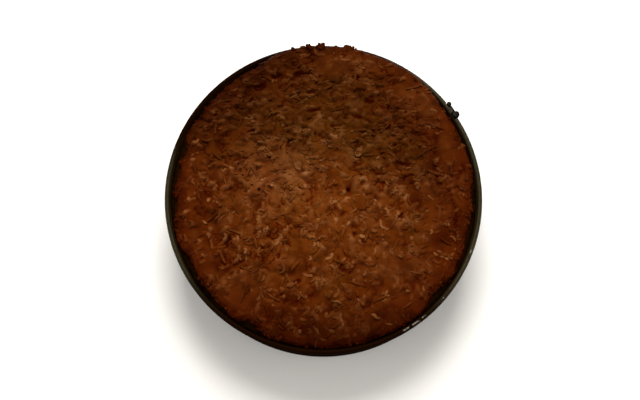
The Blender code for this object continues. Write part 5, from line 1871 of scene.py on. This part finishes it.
class CAKE_OT_clasp(bpy.types.Operator):
    """Make the clasp: its two leaves, pin, lever, knobbed link and rivets"""

    bl_idname = "cake.clasp"
    bl_label = "Clasp"

    def execute(self, context):
        coating = bpy.data.materials["tin coating"]
        steel = steel_material(context.scene.cake_tin)
        finish_piece(make_bracket(), coating, "tin", "tin_coating", "clasp_bracket")
        finish_piece(make_catch(), coating, "tin", "tin_coating", "clasp_catch")
        finish_piece(make_pin(), steel, "tin", "clasp_steel", "clasp_pin")
        finish_piece(make_lever(), coating, "lever", "tin_coating", "clasp_lever")
        finish_piece(make_link(), steel, "link", "clasp_steel", "clasp_link")
        rivets = [f"rivet_{number}" for number in range(1, 5)]
        finish_piece(make_rivets(steel), steel, "tin", "clasp_steel", *rivets)
        return {"FINISHED"}


class CAKE_OT_cake(bpy.types.Operator):
    """Make the baked layer under the topping"""

    bl_idname = "cake.layer"
    bl_label = "Cake"

    def execute(self, context):
        crumb = crumb_material(context.scene.cake_topping)
        finish_piece(make_cake(), crumb, "tin", "cake_crumb", "cake")
        return {"FINISHED"}


class CAKE_OT_topping(bpy.types.Operator):
    """Make the chocolate spread with the shreds pressed into its skin"""

    bl_idname = "cake.topping"
    bl_label = "Topping"

    def execute(self, context):
        scene = context.scene
        chocolate = chocolate_material(scene.cake_topping)
        mesh = make_topping_mesh(scene.cake_shreds)
        add_topping_piece("chocolate_spread", mesh, chocolate)
        return {"FINISHED"}


class CAKE_OT_shreds(bpy.types.Operator):
    """Scatter the coated shreds on the topping and along its edge"""

    bl_idname = "cake.shreds"
    bl_label = "Shreds"

    def execute(self, context):
        settings = context.scene.cake_shreds
        chocolate = bpy.data.materials["chocolate topping"]
        add_topping_piece("big_shreds", make_big_shreds(), chocolate)
        shapes = make_shred_shapes(settings)
        tree = shred_tree()
        host = add_object("shred_host", bpy.data.objects["chocolate_spread"].data.copy(), None, 180.0)
        shared = {"Shapes": shapes, "Material": chocolate, "Density": settings.density}
        layers = {
            "low_shreds": dict(shared, Lowest=-0.75 * MM, Highest=-0.25 * MM, Seed=settings.seed),
            "high_shreds": dict(
                shared, Density=0.5 * settings.density, Tilt=0.22, Lowest=-0.55 * MM,
                Highest=-0.05 * MM, Seed=settings.seed + 1),
            "edge_shreds": dict(
                shared, Cover="edge_cover", Density=settings.edge_density, Tilt=0.45,
                Lowest=-1.1 * MM, Highest=-0.3 * MM, Palest=0.35, Seed=settings.seed + 2),
        }
        for name, values in layers.items():
            mesh = run_tree(host, tree, values)
            if not mesh.polygons:
                raise RuntimeError(f"{name} came out empty")
            mesh.shade_smooth()
            keep_clear(mesh, SHRED_STATIONS * SHRED_SIDES)
            add_topping_piece(name, mesh, chocolate)
        bpy.data.objects.remove(host, do_unlink=True)
        for item in list(shapes.objects):
            bpy.data.objects.remove(item, do_unlink=True)
        bpy.data.collections.remove(shapes)
        return {"FINISHED"}


class CAKE_OT_stage(bpy.types.Operator):
    """Make the floor, the soft lights and the camera"""

    bl_idname = "cake.stage"
    bl_label = "Stage"

    def execute(self, context):
        settings = context.scene.cake_stage
        make_floor(settings.floor_color)
        make_studio(settings)
        make_camera(settings)
        return {"FINISHED"}


class CAKE_PT_panel(bpy.types.Panel):
    """The cake's pieces, in the order they are made"""

    bl_label = "Chocolate cake"
    bl_idname = "CAKE_PT_panel"
    bl_space_type = "VIEW_3D"
    bl_region_type = "UI"
    bl_category = "Cake"

    def draw(self, context):
        scene = context.scene
        for group in (scene.cake_tin, scene.cake_topping, scene.cake_shreds, scene.cake_stage):
            box = self.layout.box()
            for name in group.__annotations__:
                box.prop(group, name)
        for operator in OPERATORS:
            self.layout.operator(operator.bl_idname)


OPERATORS = (
    CAKE_OT_tin, CAKE_OT_clasp, CAKE_OT_cake, CAKE_OT_topping, CAKE_OT_shreds, CAKE_OT_stage)
GROUPS = {
    "cake_tin": TinSettings,
    "cake_topping": ToppingSettings,
    "cake_shreds": ShredSettings,
    "cake_stage": StageSettings,
}


def register():
    """Register the classes and put their settings on the scene."""
    for group in (*GROUPS.values(), *OPERATORS, CAKE_PT_panel):
        bpy.utils.register_class(group)
    for name, group in GROUPS.items():
        setattr(bpy.types.Scene, name, PointerProperty(type=group))


def unregister():
    """Take the settings off the scene and unregister the classes."""
    for name in GROUPS:
        delattr(bpy.types.Scene, name)
    for group in (CAKE_PT_panel, *reversed(OPERATORS), *GROUPS.values()):
        bpy.utils.unregister_class(group)


def main():
    """Make every piece and the stage."""
    register()
    bpy.ops.cake.tin()
    bpy.ops.cake.clasp()
    bpy.ops.cake.layer()
    bpy.ops.cake.topping()
    bpy.ops.cake.shreds()
    bpy.ops.cake.stage()


if __name__ == "__main__":
    main()
